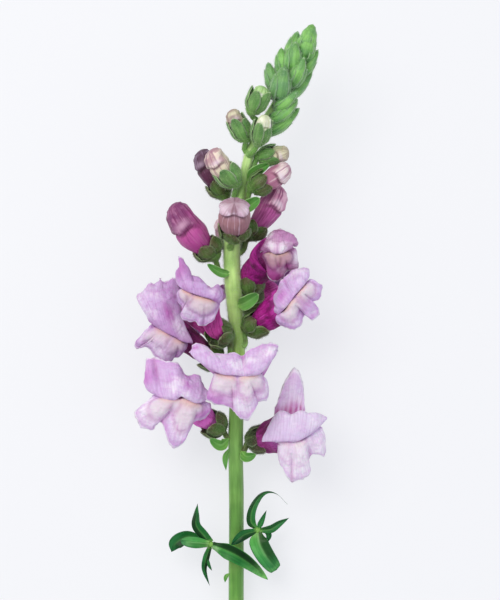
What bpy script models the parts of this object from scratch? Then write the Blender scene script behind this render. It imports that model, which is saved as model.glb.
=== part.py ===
"""A cut snapdragon flower spike, lying on its back on a flat surface.

The spike is modelled in the plant's own frame, in millimetres: X to the right, Y along the
stem from its cut end to its tip, and Z from the back of the spike to its front, with the
stem's axis near Z = 0. An organ's node gives the height on the stem and the angle round it
at which the organ grows: 0 degrees is the right side, 90 the front, 180 the left side and
270 the back. The whole plant is then laid down, pitched and rolled so that it rests on its
cut end and on the petals of its two back flowers, with the bottom centre of its box at the
origin.
"""

import math
from dataclasses import dataclass

import bpy
from mathutils import Matrix, Vector

MM = 0.001
LAY_PITCH = 8.1  # degrees that the stem rises from its cut end
LAY_ROLL = -0.1  # degrees that the spike leans to its right
SEAT_GAP = 0.35  # between an organ's foot and the stem's surface
CALYX_GAP = 0.5  # between a calyx and the petals inside it
PETAL_THICKNESS = 0.7
SEPAL_THICKNESS = 0.8
LEAF_THICKNESS = 0.8
STALK_RADIUS = 1.1
SHOOT_RADIUS = 1.2
JOINT_RADIUS = 1.5  # of the swelling that a shoot's leaves grow from
LEFT_JOINT = (-10.5, 48, 4.6)
RIGHT_JOINT = (9, 53.5, 2.2)

# The stem's midline, and its radius at heights above the cut end.
STEM_MIDLINE = (
    (0.1, 0, 0), (0, 24, 0), (0.1, 66, 0), (-0.2, 92, 0), (0.8, 126, 0), (-0.8, 150, 0),
    (-1.8, 166, 0), (-1.2, 180, 0), (2, 194, 0), (5.5, 211, 0), (10.4, 222, 0),
    (17, 233, 0), (22.6, 243, 0), (26.5, 249, 0),
)
STEM_RADII = (
    (0, 3.2), (100, 3.1), (135, 3.0), (160, 3.5), (175, 3.5), (190, 2.3), (205, 2.0),
    (225, 1.7), (249, 1.3),
)
STEM_SIDES = 12
STEM_RINGS = 22

GREENS = {"stem": (0.25, 0.42, 0.08), "sepal": (0.09, 0.2, 0.05), "leaf": (0.03, 0.2, 0.05)}
PETALS = {"open": (0.72, 0.47, 0.72), "bud": (0.42, 0.1, 0.3), "young": (0.55, 0.55, 0.33)}


@dataclass(frozen=True)
class Lobe:
    """One petal lobe, by the points that its midline passes after it leaves the mouth's rim."""

    midline: tuple
    half_width: float
    taper: float  # share of its length by which its sides end before its tip


@dataclass(frozen=True)
class Flower:
    """An open flower: where it grows, its tube, its mouth and the lobes of its two lips."""

    name: str
    node: tuple
    base: tuple  # where the tube begins
    heading: tuple  # the direction in which the tube leaves its base
    mouth: tuple
    facing: tuple
    up: tuple
    mouth_half: tuple  # half width and half height of the mouth's rim
    upper: tuple
    lower: tuple
    palate: float = 1.8  # height of the two humps that close the mouth


@dataclass(frozen=True)
class Bud:
    """A closed bud: where it grows, the two ends of its petals, and its greatest radius."""

    name: str
    node: tuple
    base: tuple
    tip: tuple
    radius: float
    petals: str = "bud"
    sepal_length: float = 6.5


@dataclass(frozen=True)
class Leaf:
    """A leaf or bract: its midline, its greatest half width and the side that it faces.

    The midline of a shoot's leaf starts at the middle of its joint, and its blade just off it.
    """

    name: str
    midline: tuple
    half_width: float
    facing: tuple = (0, 0, 1)
    fold: float = 0.25  # rise of the margins over the midrib, in half widths
    widest: float = 0.45


@dataclass(frozen=True)
class TipBud:
    """A young bud wrapped in its bract: where it grows, its tip and its width."""

    name: str
    node: tuple
    tip: tuple
    width: float


FLOWERS = (
    Flower(
        "lower_right_flower", (86, 20), (6.5, 91, 1), (0.8, 0.15, 0.35),
        (20.5, 94.5, 11), (0.3, -0.15, 0.93), (0.05, 1, 0.1), (9, 3.4),
        (
            Lobe(((17, 97, 17), (22, 103.5, 15), (27, 122.5, 8)), 6, 0.8),
            Lobe(((23, 95, 18), (28.5, 98, 20), (37.5, 101.5, 16)), 5, 0.35),
        ),
        (
            Lobe(((16, 91.5, 15), (17.5, 87.5, 15), (17, 84, 9)), 3.4, 0.4),
            Lobe(((22.5, 92, 18), (24, 86, 20), (25.5, 74.5, 14)), 6.8, 0.55),
            Lobe(((27.5, 92, 17), (31.5, 91.5, 17), (35.5, 84.5, 12)), 4.8, 0.4),
        ),
    ),
    Flower(
        "lower_left_flower", (92, 165), (-6.5, 96, 1), (-0.75, 0.5, 0.4),
        (-24, 109, 11), (-0.3, -0.05, 0.95), (0, 1, 0.1), (9, 3.4),
        (
            Lobe(((-29, 111, 17), (-31, 117.5, 18), (-35, 124, 12)), 6.2, 0.35),
            Lobe(((-20, 110, 17), (-18, 114.5, 17), (-12.5, 116, 12)), 5.6, 0.35),
        ),
        (
            Lobe(((-29.5, 108.5, 16), (-33.5, 104.5, 17), (-40, 100.5, 12)), 5.6, 0.3),
            Lobe(((-24, 108.5, 18), (-24, 100.5, 19), (-24, 88.5, 13)), 6.2, 0.45),
            Lobe(((-19, 108, 16), (-15.5, 105.5, 14), (-12, 103.5, 7)), 4.2, 0.4),
        ),
    ),
    Flower(
        "front_flower", (104, 90), (0, 111, 7), (0, 0.35, 0.9),
        (2, 118, 24), (0, -0.1, 1), (0, 1, 0.1), (10, 3.2),
        (
            Lobe(((-3, 121, 30), (-8.5, 125.5, 31), (-17.5, 129.5, 26)), 4.9, 0.25),
            Lobe(((6.5, 121, 30), (9, 126.5, 31), (16, 131.5, 26)), 5, 0.35),
        ),
        (
            Lobe(((-2.5, 118.5, 29), (-5.5, 113.5, 30), (-7, 106, 25)), 6.2, 0.25),
            Lobe(((2, 118.5, 31), (3, 111, 32), (4, 101, 27)), 6.2, 0.4),
            Lobe(((6.5, 118.5, 29), (10.5, 115.5, 29), (12.5, 110, 24)), 4.4, 0.4),
        ),
    ),
    Flower(
        "left_flower", (118, 185), (-7.5, 124, -1), (-0.8, 0.5, 0.1),
        (-27, 136, 3), (-0.35, -0.15, 0.92), (0.42, 0.9, 0.2), (10, 3.4),
        (
            Lobe(((-32.5, 141.5, 9), (-35.5, 149, 10), (-37.5, 156.5, 4)), 6.6, 0.1),
            Lobe(((-22.5, 136.5, 9), (-24.5, 148, 9), (-26.5, 159, 3)), 6.6, 0.3),
        ),
        (
            Lobe(((-33.5, 139, 7), (-36, 134, 8), (-42, 130.5, 3)), 4.2, 0.4),
            Lobe(((-28, 136.5, 9), (-30, 130.5, 10), (-29, 123, 4)), 6.4, 0.45),
            Lobe(((-22.5, 133, 7), (-21.5, 130, 5), (-22.5, 126, 0)), 4.2, 0.4),
        ),
    ),
    Flower(
        "left_front_flower", (126, 140), (-4, 134, 6), (-0.5, 0.6, 0.6),
        (-15, 151, 19), (-0.3, -0.25, 0.91), (0.4, 0.9, 0.25), (9, 3.2),
        (
            Lobe(((-20, 155.5, 25), (-23, 161, 23), (-23, 167.5, 18)), 3, 0.7),
            Lobe(((-13, 152.5, 26), (-12.5, 156, 25), (-7.5, 154, 19)), 4.4, 0.35),
        ),
        (
            Lobe(((-20.5, 154, 23), (-22, 151, 22), (-21.5, 147, 17)), 3.2, 0.4),
            Lobe(((-15, 151, 26), (-17, 145.5, 26), (-19, 140.5, 20)), 5.2, 0.4),
            Lobe(((-10, 149, 24), (-9, 144.5, 23), (-9, 139.5, 18)), 5.2, 0.35),
        ),
    ),
    Flower(
        "right_flower", (131, 20), (6.5, 136.5, 1), (0.6, 0.7, 0.3),
        (23, 149, 11), (0.35, -0.05, 0.93), (-0.76, 0.65, 0.2), (9, 3.2),
        (
            Lobe(((20.5, 148.5, 17), (18, 151, 17), (16.5, 153.5, 11)), 6.4, 0.3),
            Lobe(((26.5, 156, 17), (24.5, 159.5, 15), (28.5, 163.5, 10)), 4.6, 0.4),
        ),
        (
            Lobe(((20.5, 146.5, 16), (22.5, 142, 15), (24, 138.5, 10)), 4.4, 0.4),
            Lobe(((25, 149.5, 18), (28.5, 146.5, 17), (34, 144, 12)), 4.4, 0.35),
            Lobe(((27.5, 155, 17), (31, 154, 17), (35.5, 153.5, 12)), 5, 0.3),
        ),
    ),
    Flower(
        "right_upper_flower", (152, 10), (7.2, 155.5, -1), (0.3, 0.9, 0.1),
        (15.5, 168.5, 6), (0.3, -0.35, 0.9), (-0.1, 1, 0.4), (6.8, 3.2),
        (
            Lobe(((13, 171, 13), (12.5, 175.5, 12), (17.5, 180, 6)), 4.6, 0.4),
            Lobe(((18.5, 171, 13), (21, 175.5, 12), (26.5, 174.5, 7)), 3.4, 0.4),
        ),
        (
            Lobe(((12, 169, 12), (11, 166, 11), (12.5, 162.5, 8)), 3.2, 0.4),
            Lobe(((15.5, 168, 14), (16, 163.5, 13), (17.5, 158.5, 9)), 4.2, 0.4),
            Lobe(((19.5, 169, 12), (23, 168.5, 10), (25, 164, 6)), 3.2, 0.4),
        ),
    ),
    Flower(
        "back_left_flower", (128, 225), (-4.5, 134, -5), (-0.6, 0.4, -0.6),
        (-17, 146, -13), (-0.45, 0.1, -0.88), (0, 1, 0.1), (8, 3.4),
        (
            Lobe(((-14, 149.5, -17), (-12, 154, -17), (-10, 158.5, -13)), 4.6, 0.35),
            Lobe(((-21, 149.5, -15), (-25, 154, -13), (-29, 158, -7)), 4.6, 0.35),
        ),
        (
            Lobe(((-13, 145, -17), (-10, 139, -16), (-9, 134, -12)), 4, 0.35),
            Lobe(((-17, 144, -18), (-18, 137, -18), (-19, 131, -13)), 4.4, 0.4),
            Lobe(((-22, 145, -15), (-27, 140, -12), (-31, 136, -6)), 4, 0.35),
        ),
    ),
    Flower(
        "back_right_flower", (144, 310), (4, 148, -6.6), (0.55, 0.3, -0.75),
        (14, 153, -16), (0.45, 0, -0.9), (0, 1, 0), (8, 3.4),
        (
            Lobe(((18, 156, -19), (20, 159, -17), (21, 162, -12)), 4, 0.35),
            Lobe(((11, 156.5, -20), (9, 161, -20), (7, 166.5, -16)), 4.6, 0.35),
        ),
        (
            Lobe(((18, 151, -19), (21, 144, -17), (21.5, 134, -13)), 3.6, 0.4),
            Lobe(((14, 151, -21), (13.5, 144, -21), (13, 137, -17)), 4.4, 0.4),
            Lobe(((10, 151, -19), (7, 146, -18), (5, 141, -14)), 4, 0.35),
        ),
    ),
)

BUDS = (
    Bud("left_bud", (161, 185), (-11, 167, 2), (-26.5, 190, 6), 6.2),
    Bud("front_bud", (172, 100), (-1, 177, 8), (-0.5, 188.5, 22), 7),
    Bud("right_bud", (170, 345), (6.5, 177, -4), (19.5, 197.5, -5), 6.2),
    Bud("back_left_bud", (186, 210), (-8, 193, -6), (-15, 213.5, -7), 4.8),
    Bud("upper_left_bud", (192, 150), (-2, 198, 5), (-10, 212, 10), 5, "young"),
    Bud("upper_right_bud", (191, 20), (7.5, 197, 4), (22.5, 205.5, 5), 4.8),
    Bud("back_bud", (169, 262), (-1, 173.5, -7), (-6, 184.5, -28.8), 4.6),
    Bud("high_right_bud", (204, 350), (10.5, 210, -0.5), (22, 213.5, 1), 4.4, "young"),
    Bud("high_left_bud", (212, 175), (2.5, 217.5, 3), (-3, 229.5, 6), 4.6, "young"),
    Bud("high_front_bud", (211, 80), (9.5, 216.5, 7), (12.5, 227, 13), 4.2, "young"),
    Bud("top_left_bud", (224, 140), (7.2, 229.4, 5.8), (12.5, 240, 8.2), 4.5, "young"),
)

SHOOT_LEAVES = (
    Leaf("left_shoot_top_leaf", (LEFT_JOINT, (-17.5, 55, 7), (-16, 64, 6)), 2.2),
    Leaf("left_shoot_left_leaf", (LEFT_JOINT, (-19, 51, 3), (-27, 44.5, 2.5)), 4.4),
    Leaf("left_shoot_inner_leaf", (LEFT_JOINT, (-17, 49.5, 8.5), (-22.5, 48, 8)), 2.6),
    Leaf("left_shoot_lower_leaf", (LEFT_JOINT, (-14.5, 39, 3), (-11, 30.5, 4)), 1.8),
    Leaf("left_shoot_front_leaf", (LEFT_JOINT, (1, 41.5, 9), (13.5, 33, 7)), 4.4),
    Leaf(
        "right_shoot_curved_leaf",
        (RIGHT_JOINT, (5.5, 59, 1.5), (8.5, 66, 2), (14, 69.5, 3), (21, 65, 3)), 1.9,
    ),
    Leaf("right_shoot_small_leaf", (RIGHT_JOINT, (10.8, 58, 3), (12.5, 61.5, 3)), 1.5),
    Leaf("right_shoot_right_leaf", (RIGHT_JOINT, (15, 54, 2), (22, 57.5, 2)), 2.2),
    Leaf("right_shoot_lower_leaf", (RIGHT_JOINT, (13, 43, 4), (18, 36, 3)), 3.4, widest=0.65),
    Leaf("right_shoot_inner_leaf", (RIGHT_JOINT, (3, 52, 6.5), (-2.2, 48.5, 6.5)), 1.8),
)

# What grows on the stem and is one piece with it: the bracts under some flowers, and the
# stalks of the two leaf shoots.
BRACTS = (
    Leaf("lower_right_bract", ((1.5, 83.5, 2), (5.5, 82.5, 4), (10, 83.5, 4)), 2.4),
    Leaf("lower_left_bract", ((-1.5, 88, 2), (-6, 84.5, 4), (-11, 86, 4)), 2.4),
    Leaf("right_upper_bract", ((0, 145.5, 2), (5, 146.5, 5), (10, 149, 5.5)), 2.8),
    Leaf("upper_right_bract", ((1.5, 187.5, 1), (8, 187.5, 6), (13.5, 190, 7)), 2.4),
)
SHOOT_STALKS = (
    ("left_shoot_stalk", (-1, 46, 1), LEFT_JOINT),
    ("right_shoot_stalk", (1, 50, 0), RIGHT_JOINT),
)

# The youngest buds, each wrapped in its bract, and the cone of scales at the very tip.
TIP_BUDS = (
    TipBud("tip_lower_right_bud", (220.5, 350), (27, 229.8, -0.6), 6.2),
    TipBud("tip_right_bud", (227, 30), (25.5, 236.5, 5), 6),
    TipBud("tip_front_bud", (237, 95), (20.5, 247, 8), 7.5),
    TipBud("tip_upper_right_bud", (234, 345), (32.3, 246, -1), 6.4),
    TipBud("tip_front_scale", (241.5, 60), (29.5, 251, 7), 6.2),
    TipBud("tip_left_scale", (235.5, 200), (13.5, 250, -2.5), 6),
    TipBud("tip_upper_left_scale", (243, 170), (19, 255.5, 1), 6),
)
TIP_CONE = ((26.8, 249.4, 0), (33, 267.5, 0))
TIP_CONE_WIDTH = 11


def spline(points, t):
    """The point at share t along a smooth curve through the points."""
    points = [Vector(p) for p in points]
    spans = len(points) - 1
    place = min(max(t, 0.0), 1.0) * spans
    i = min(int(place), spans - 1)
    u = place - i
    p1, p2 = points[i], points[i + 1]
    p0 = points[i - 1] if i else p1 * 2 - p2
    p3 = points[i + 2] if i + 2 <= spans else p2 * 2 - p1
    return 0.5 * (
        p1 * 2
        + (p2 - p0) * u
        + (p0 * 2 - p1 * 5 + p2 * 4 - p3) * u * u
        + (p1 * 3 - p0 - p2 * 3 + p3) * u ** 3
    )


def heading_at(points, t):
    """The unit direction of the smooth curve through the points, at share t."""
    return (spline(points, min(t + 0.02, 1)) - spline(points, max(t - 0.02, 0))).normalized()


def bezier(p0, p1, p2, p3, t):
    """The point at share t along a cubic curve."""
    s = 1 - t
    return p0 * s ** 3 + p1 * 3 * s * s * t + p2 * 3 * s * t * t + p3 * t ** 3


def smooth(share):
    """A share from 0 to 1, eased at both ends."""
    share = min(max(share, 0.0), 1.0)
    return share * share * (3 - 2 * share)


def profile(stops, place):
    """The value at a place, read smoothly from (place, value) stops."""
    for (x0, y0), (x1, y1) in zip(stops, stops[1:]):
        if place <= x1:
            return y0 + (y1 - y0) * smooth((place - x0) / (x1 - x0))
    return stops[-1][1]


def axes(forward, up):
    """Unit vectors (right, up, forward) of a frame that looks along forward."""
    forward = Vector(forward).normalized()
    right = Vector(up).cross(forward).normalized()
    return right, forward.cross(right), forward


def steady_axes(forward):
    """Axes along forward, with up taken from the front of the spike or, failing that, its tip."""
    forward = Vector(forward).normalized()
    return axes(forward, (0, 0, 1) if abs(forward.z) < 0.8 else (0, 1, 0))


def turn(count):
    """Angles of a full turn, in equal steps."""
    return [360 * i / count for i in range(count)]


def ring(centre, right, up, half_right, half_up, angles):
    """Points of an ellipse, one at each angle in degrees."""
    return [
        centre
        + right * half_right * math.cos(math.radians(a))
        + up * half_up * math.sin(math.radians(a))
        for a in angles
    ]


def closed_loft(rings):
    """(points, faces) of a solid skinned over rings of equal count and capped at both ends."""
    count = len(rings[0])
    points = [p for each in rings for p in each]
    faces = []
    for row in range(len(rings) - 1):
        low, high = row * count, (row + 1) * count
        for i in range(count):
            j = (i + 1) % count
            faces.append((low + i, low + j, high + j, high + i))
    for row, order in ((0, -1), (len(rings) - 1, 1)):
        end = list(range(row * count, row * count + count))[::order]
        middle = len(points)
        points.append(sum((points[i] for i in end), Vector()) / count)
        faces += [(end[i], end[(i + 1) % count], middle) for i in range(count)]
    return points, faces


def stem_at(height):
    """(centre, radius) of the stem at a height above its cut end."""
    low, high = 0.0, 1.0
    for _ in range(30):
        middle = (low + high) / 2
        if spline(STEM_MIDLINE, middle).y < height:
            low = middle
        else:
            high = middle
    return spline(STEM_MIDLINE, low), profile(STEM_RADII, height)


def seat(node):
    """(point, outward direction) of an organ's seat, just off the stem's surface."""
    height, angle = node[0], math.radians(node[1])
    centre, radius = stem_at(height)
    front = Vector((0, 0, 1))
    side = (stem_at(height + 1)[0] - centre).cross(front).normalized()
    outward = side * math.cos(angle) + front * math.sin(angle)
    return centre + outward * (radius + SEAT_GAP), outward


class Plant:
    """The empty that carries every organ, and the materials that they share."""

    def __init__(self):
        self.root = bpy.data.objects.new("plant", None)
        bpy.context.scene.collection.objects.link(self.root)
        self.materials = {}

    def material(self, kind, colours):
        """A matt plant surface of one colour, made once for each kind."""
        if kind not in self.materials:
            made = bpy.data.materials.new(kind)
            made.use_nodes = True
            shader = made.node_tree.nodes["Principled BSDF"]
            shader.inputs["Base Color"].default_value = (*colours[kind], 1)
            shader.inputs["Roughness"].default_value = 0.6
            shader.inputs["Metallic"].default_value = 0.0
            self.materials[kind] = made
        return self.materials[kind]

    def add(self, name, solid, material, helper=False):
        """An object from (points, faces) in millimetres in the plant's frame."""
        points, faces = solid
        mesh = bpy.data.meshes.new(name)
        mesh.from_pydata([p * MM for p in points], [], faces)
        mesh.materials.append(material)
        mesh.shade_smooth()
        made = bpy.data.objects.new(name, mesh)
        made.parent = self.root
        bpy.context.scene.collection.objects.link(made)
        if helper:
            made.hide_render = True
            made.display_type = "WIRE"
        return made

    def lay_down(self):
        """Pitches and rolls the plant, then puts the bottom centre of its box at the origin."""
        self.root.matrix_world = (
            Matrix.Rotation(math.radians(LAY_ROLL), 4, "Y")
            @ Matrix.Rotation(math.radians(LAY_PITCH), 4, "X")
        )
        bpy.context.view_layer.update()
        graph = bpy.context.evaluated_depsgraph_get()
        corners = []
        for child in self.root.children:
            if not child.hide_render:
                solid = child.evaluated_get(graph)
                corners += [solid.matrix_world @ v.co for v in solid.data.vertices]
        low = Vector(min(c[i] for c in corners) for i in range(3))
        high = Vector(max(c[i] for c in corners) for i in range(3))
        middle = (low + high) / 2
        lift = Matrix.Translation((-middle.x, -middle.y, -low.z))
        self.root.matrix_world = lift @ self.root.matrix_world


# --- Open flowers ---------------------------------------------------------------------------

TUBE_RADII = ((0, 1.2), (0.08, 2.6), (0.35, 4.6), (0.8, 5.4))  # along the tube, before its mouth
TUBE_RINGS = 4
LOBE_COLUMNS = 4
UPPER_ROWS = 4
LOWER_ROWS = 5
FUSED_SHARE = 0.4  # share of a lip's length before its lobes part
PALATE_PLACES = (0.35, 0.65)  # of the two humps, across the lower lip
PALATE_ALONG = 0.3
PALATE_SPREAD = (0.13, 0.16)


def tube_rings(flower):
    """Rings of the petal tube, from its base to the rim of its mouth."""
    base, mouth = Vector(flower.base), Vector(flower.mouth)
    length = (mouth - base).length
    right0, up0, ahead0 = axes(flower.heading, flower.up)
    right1, up1, ahead1 = axes(flower.facing, flower.up)
    upper_count = LOBE_COLUMNS * len(flower.upper)
    lower_count = LOBE_COLUMNS * len(flower.lower)
    angles = [180 - 180 * i / upper_count for i in range(upper_count)]
    angles += [360 - 180 * i / lower_count for i in range(lower_count)]
    rings = []
    for i in range(TUBE_RINGS + 1):
        t = (i / TUBE_RINGS) ** 1.25
        right = right0.lerp(right1, t).normalized()
        up = up0.lerp(up1, t).normalized()
        centre = bezier(base, base + ahead0 * length * 0.45, mouth - ahead1 * length * 0.3, mouth, t)
        across, tall = (profile((*TUBE_RADII, (1, half)), t) for half in flower.mouth_half)
        rings.append(ring(centre, right, up, across, tall, angles))
    return rings


def lobe_point(lobe, rim, facing, across, along):
    """A point of a lobe: across from -1 to 1, along from 0 at the rim to 1 at its tip."""
    root = rim(0)
    path = [root, *lobe.midline]
    reach = along * (1 - lobe.taper * abs(across) ** 2.4)
    root_side = (rim(1) - rim(-1)) / 2
    tip_side = heading_at(path, reach).cross(facing).normalized()
    if tip_side.dot(root_side) < 0:
        tip_side = -tip_side
    ease = smooth(reach / 0.45)
    side = root_side.normalized().lerp(tip_side, ease).normalized()
    width = root_side.length + (lobe.half_width - root_side.length) * ease
    off_rim = rim(across) - root - root_side * across
    return spline(path, reach) + side * width * across + off_rim * (1 - reach) ** 3


def palate_rise(flower, share, along):
    """How far the two humps of the lower lip stand out, at a share of its width."""
    wide, deep = PALATE_SPREAD
    swell = sum(math.exp(-(((share - place) / wide) ** 2)) for place in PALATE_PLACES)
    return flower.palate * swell * math.exp(-(((along - PALATE_ALONG) / deep) ** 2))


def lip(flower, lobes, sweep, rows, has_palate):
    """(grid, fused): each lobe's rows of points, left to right, and the row where lobes part."""
    right, up, facing = axes(flower.facing, flower.up)
    half_right, half_up = flower.mouth_half
    grid = []
    for i, lobe in enumerate(lobes):

        def rim(across, i=i):
            angle = math.radians(180 + sweep * (i + (across + 1) / 2) / len(lobes))
            around = right * half_right * math.cos(angle) + up * half_up * math.sin(angle)
            return Vector(flower.mouth) + around

        grid.append([])
        for row in range(rows + 1):
            line = []
            for column in range(LOBE_COLUMNS + 1):
                across = 2 * column / LOBE_COLUMNS - 1
                point = lobe_point(lobe, rim, facing, across, row / rows)
                if has_palate:
                    share = (i + (across + 1) / 2) / len(lobes)
                    point += facing * palate_rise(flower, share, row / rows)
                line.append(point)
            grid[-1].append(line)
    fused = max(1, round(rows * FUSED_SHARE))
    for left, right_lobe in zip(grid, grid[1:]):
        for row in range(1, rows + 1):
            hold = max(0.0, 1 - max(0, row - fused) / 2)
            meet = (left[row][-1] + right_lobe[row][0]) / 2
            pull_left = (meet - left[row][-1]) * hold
            pull_right = (meet - right_lobe[row][0]) * hold
            for column in range(LOBE_COLUMNS + 1):
                near = column / LOBE_COLUMNS
                left[row][column] += pull_left * near ** 2
                right_lobe[row][column] += pull_right * (1 - near) ** 2
    return grid, fused


def petal_surface(flower):
    """(points, faces) of the open surface of a flower's petals: its tube and its two lips."""
    rings = tube_rings(flower)
    count = len(rings[0])
    points = [p for each in rings for p in each]
    faces = []
    for row in range(TUBE_RINGS):
        low, high = row * count, (row + 1) * count
        for i in range(count):
            j = (i + 1) % count
            faces.append((low + i, high + i, high + j, low + j))
    pole = len(points)
    points.append(sum(rings[0], Vector()) / count)
    faces += [((i + 1) % count, pole, i) for i in range(count)]
    rim = TUBE_RINGS * count
    upper_count = LOBE_COLUMNS * len(flower.upper)
    upper_rim = [rim + i for i in range(upper_count + 1)]
    lower_rim = [rim] + [rim + count - 1 - i for i in range(count - upper_count)]
    lips = (
        (flower.upper, -180, UPPER_ROWS, upper_rim),
        (flower.lower, 180, LOWER_ROWS, lower_rim),
    )
    for lobes, sweep, rows, rim_points in lips:
        is_lower = sweep > 0
        grid, fused = lip(flower, lobes, sweep, rows, is_lower)
        before = None
        for i, lobe in enumerate(grid):
            index = [rim_points[LOBE_COLUMNS * i: LOBE_COLUMNS * (i + 1) + 1]]
            for row in range(1, rows + 1):
                shared = before is not None and row <= fused
                line = [before[row][-1]] if shared else []
                for point in lobe[row][len(line):]:
                    line.append(len(points))
                    points.append(point)
                index.append(line)
            for a, b in zip(index, index[1:]):
                for c in range(LOBE_COLUMNS):
                    face = (a[c], b[c], b[c + 1], a[c + 1])
                    faces.append(face[::-1] if is_lower else face)
            before = index
    return points, faces


def add_flower(plant, flower):
    """The petals of an open flower as one thin shell, and the calyx that holds them."""
    petals = plant.add(f"{flower.name}_petals", petal_surface(flower), plant.material("open", PETALS))
    shell = petals.modifiers.new("shell", "SOLIDIFY")
    shell.thickness = PETAL_THICKNESS * MM
    shell.offset = -1
    size = (FLOWER_SEPAL_LENGTH, FLOWER_CALYX_RADIUS)
    add_calyx(plant, flower.name, flower.node, flower.base, flower.heading, *size)


# --- Calyxes and buds -----------------------------------------------------------------------

SEPALS = 5
FLOWER_SEPAL_LENGTH = 6.5
FLOWER_CALYX_RADIUS = 5.6
CALYX_FLOOR_SHARE = 0.72  # width of the cup's floor, as a share of its width half way up
NOTCH_SHARE = 0.55  # of the cup's height that lies between its sepals
CALYX_SIDES = 10
BUD_SIDES = 10
BUD_ROWS = 6
BUD_SWELL = ((0, 0.3), (0.1, 0.62), (0.6, 1.0), (0.88, 0.78), (1, 0.25))
BUD_CALYX_SHARE = 0.86  # radius of the petals where the calyx ends, as a share of the greatest


def add_calyx(plant, name, node, base, heading, length, radius):
    """A flower stalk and the cup of five sepals at its end, as one solid."""
    foot, outward = seat(node)
    right, up, ahead = steady_axes(heading)
    floor = Vector(base) - ahead * (CALYX_GAP + 0.2)
    under = floor - ahead * SEPAL_THICKNESS
    span = (under - foot).length
    angles = turn(CALYX_SIDES)
    stalk = []
    for t in (0, 0.5, 1):
        centre = bezier(foot, foot + outward * span * 0.4, under - ahead * span * 0.4, under, t)
        across, over, _ = steady_axes(outward.lerp(ahead, t))
        stalk.append(ring(centre, across, over, STALK_RADIUS, STALK_RADIUS, angles))

    def crown(rise, spread, open_share):
        """A ring of the cup whose points rise higher at the sepals' tips than between them."""
        points = []
        for a in angles:
            tooth = 0.5 + 0.5 * math.cos(math.radians(a * SEPALS))
            reach = rise * (1 - open_share * (1 - tooth))
            around = right * math.cos(math.radians(a)) + up * math.sin(math.radians(a))
            points.append(floor + ahead * reach + around * spread)
        return points

    inner = radius - SEPAL_THICKNESS
    cup = [
        crown(0.2, radius * CALYX_FLOOR_SHARE, 0),
        crown(length * 0.5, radius, 0.2),
        crown(length, radius * 1.04, NOTCH_SHARE),
        crown(length - 0.3, inner * 1.04, NOTCH_SHARE),
        crown(length * 0.5, inner, 0.2),
        crown(0.15, radius * CALYX_FLOOR_SHARE - SEPAL_THICKNESS, 0),
    ]
    plant.add(f"{name}_calyx", closed_loft(stalk + cup), plant.material("sepal", GREENS))


def add_bud(plant, bud):
    """A closed bud as one solid, with its calyx."""
    base, tip = Vector(bud.base), Vector(bud.tip)
    length = (tip - base).length
    right, up, ahead = steady_axes(tip - base)
    rings = []
    for i in range(BUD_ROWS + 1):
        t = 1 - (1 - i / BUD_ROWS) ** 1.2
        size = bud.radius * profile(BUD_SWELL, t)
        rings.append(ring(base + ahead * length * t, right, up, size, size, turn(BUD_SIDES)))
    plant.add(f"{bud.name}_petals", closed_loft(rings), plant.material(bud.petals, PETALS))
    calyx_radius = bud.radius * BUD_CALYX_SHARE + CALYX_GAP + SEPAL_THICKNESS
    add_calyx(plant, bud.name, bud.node, bud.base, tip - base, bud.sepal_length, calyx_radius)


# --- The stem, its leaves and its tip -------------------------------------------------------

LEAF_ROWS = 6
LEAF_STALK_SHARE = 0.18  # width of a leaf's foot, as a share of its greatest width
LEAF_TIP_SHARE = 0.08
JOINT_SIDES = 8
PLUMP_SIDES = 8
PLUMP_SIZES = ((0, 0.3), (0.15, 0.72), (0.4, 1), (0.7, 0.78), (0.9, 0.4), (1, 0.1))
PLUMP_DEPTH = 0.85  # depth of a young bud, as a share of its width


def leaf_solid(leaf):
    """(points, faces) of a thin folded blade, narrow at its stalk and pointed at its tip."""
    midline = list(leaf.midline)
    if midline[0] in (LEFT_JOINT, RIGHT_JOINT):
        start = Vector(midline[0])
        midline[0] = start + (Vector(midline[1]) - start).normalized() * (JOINT_RADIUS + SEAT_GAP)
    outline = ((0, LEAF_STALK_SHARE), (leaf.widest, 1.0), (1, LEAF_TIP_SHARE))
    rings = []
    for i in range(LEAF_ROWS + 1):
        t = i / LEAF_ROWS
        here = spline(midline, t)
        ahead = heading_at(midline, t)
        side = ahead.cross(Vector(leaf.facing)).normalized()
        face = side.cross(ahead)
        width = leaf.half_width * profile(outline, t)
        margin = face * width * leaf.fold
        half = face * LEAF_THICKNESS / 2
        left, right = here - side * width + margin, here + side * width + margin
        rings.append([here - half, left, here + half, right])
    return closed_loft(rings)


def add_stem(plant):
    """The stem, with the bracts that grow on it joined to it."""
    rings = []
    for i in range(STEM_RINGS + 1):
        t = i / STEM_RINGS
        centre = spline(STEM_MIDLINE, t)
        right, up, _ = axes(heading_at(STEM_MIDLINE, t) if i else (0, 1, 0), (0, 0, 1))
        size = profile(STEM_RADII, centre.y)
        rings.append(ring(centre, right, up, size, size, turn(STEM_SIDES)))
    stem = plant.add("stem", closed_loft(rings), plant.material("stem", GREENS))
    joined = [(bract.name, leaf_solid(bract)) for bract in BRACTS]
    joined += [(name, stalk_solid(start, joint)) for name, start, joint in SHOOT_STALKS]
    for name, solid in joined:
        join = stem.modifiers.new(name, "BOOLEAN")
        join.operation = "UNION"
        join.object = plant.add(name, solid, plant.material("leaf", GREENS), True)


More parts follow.
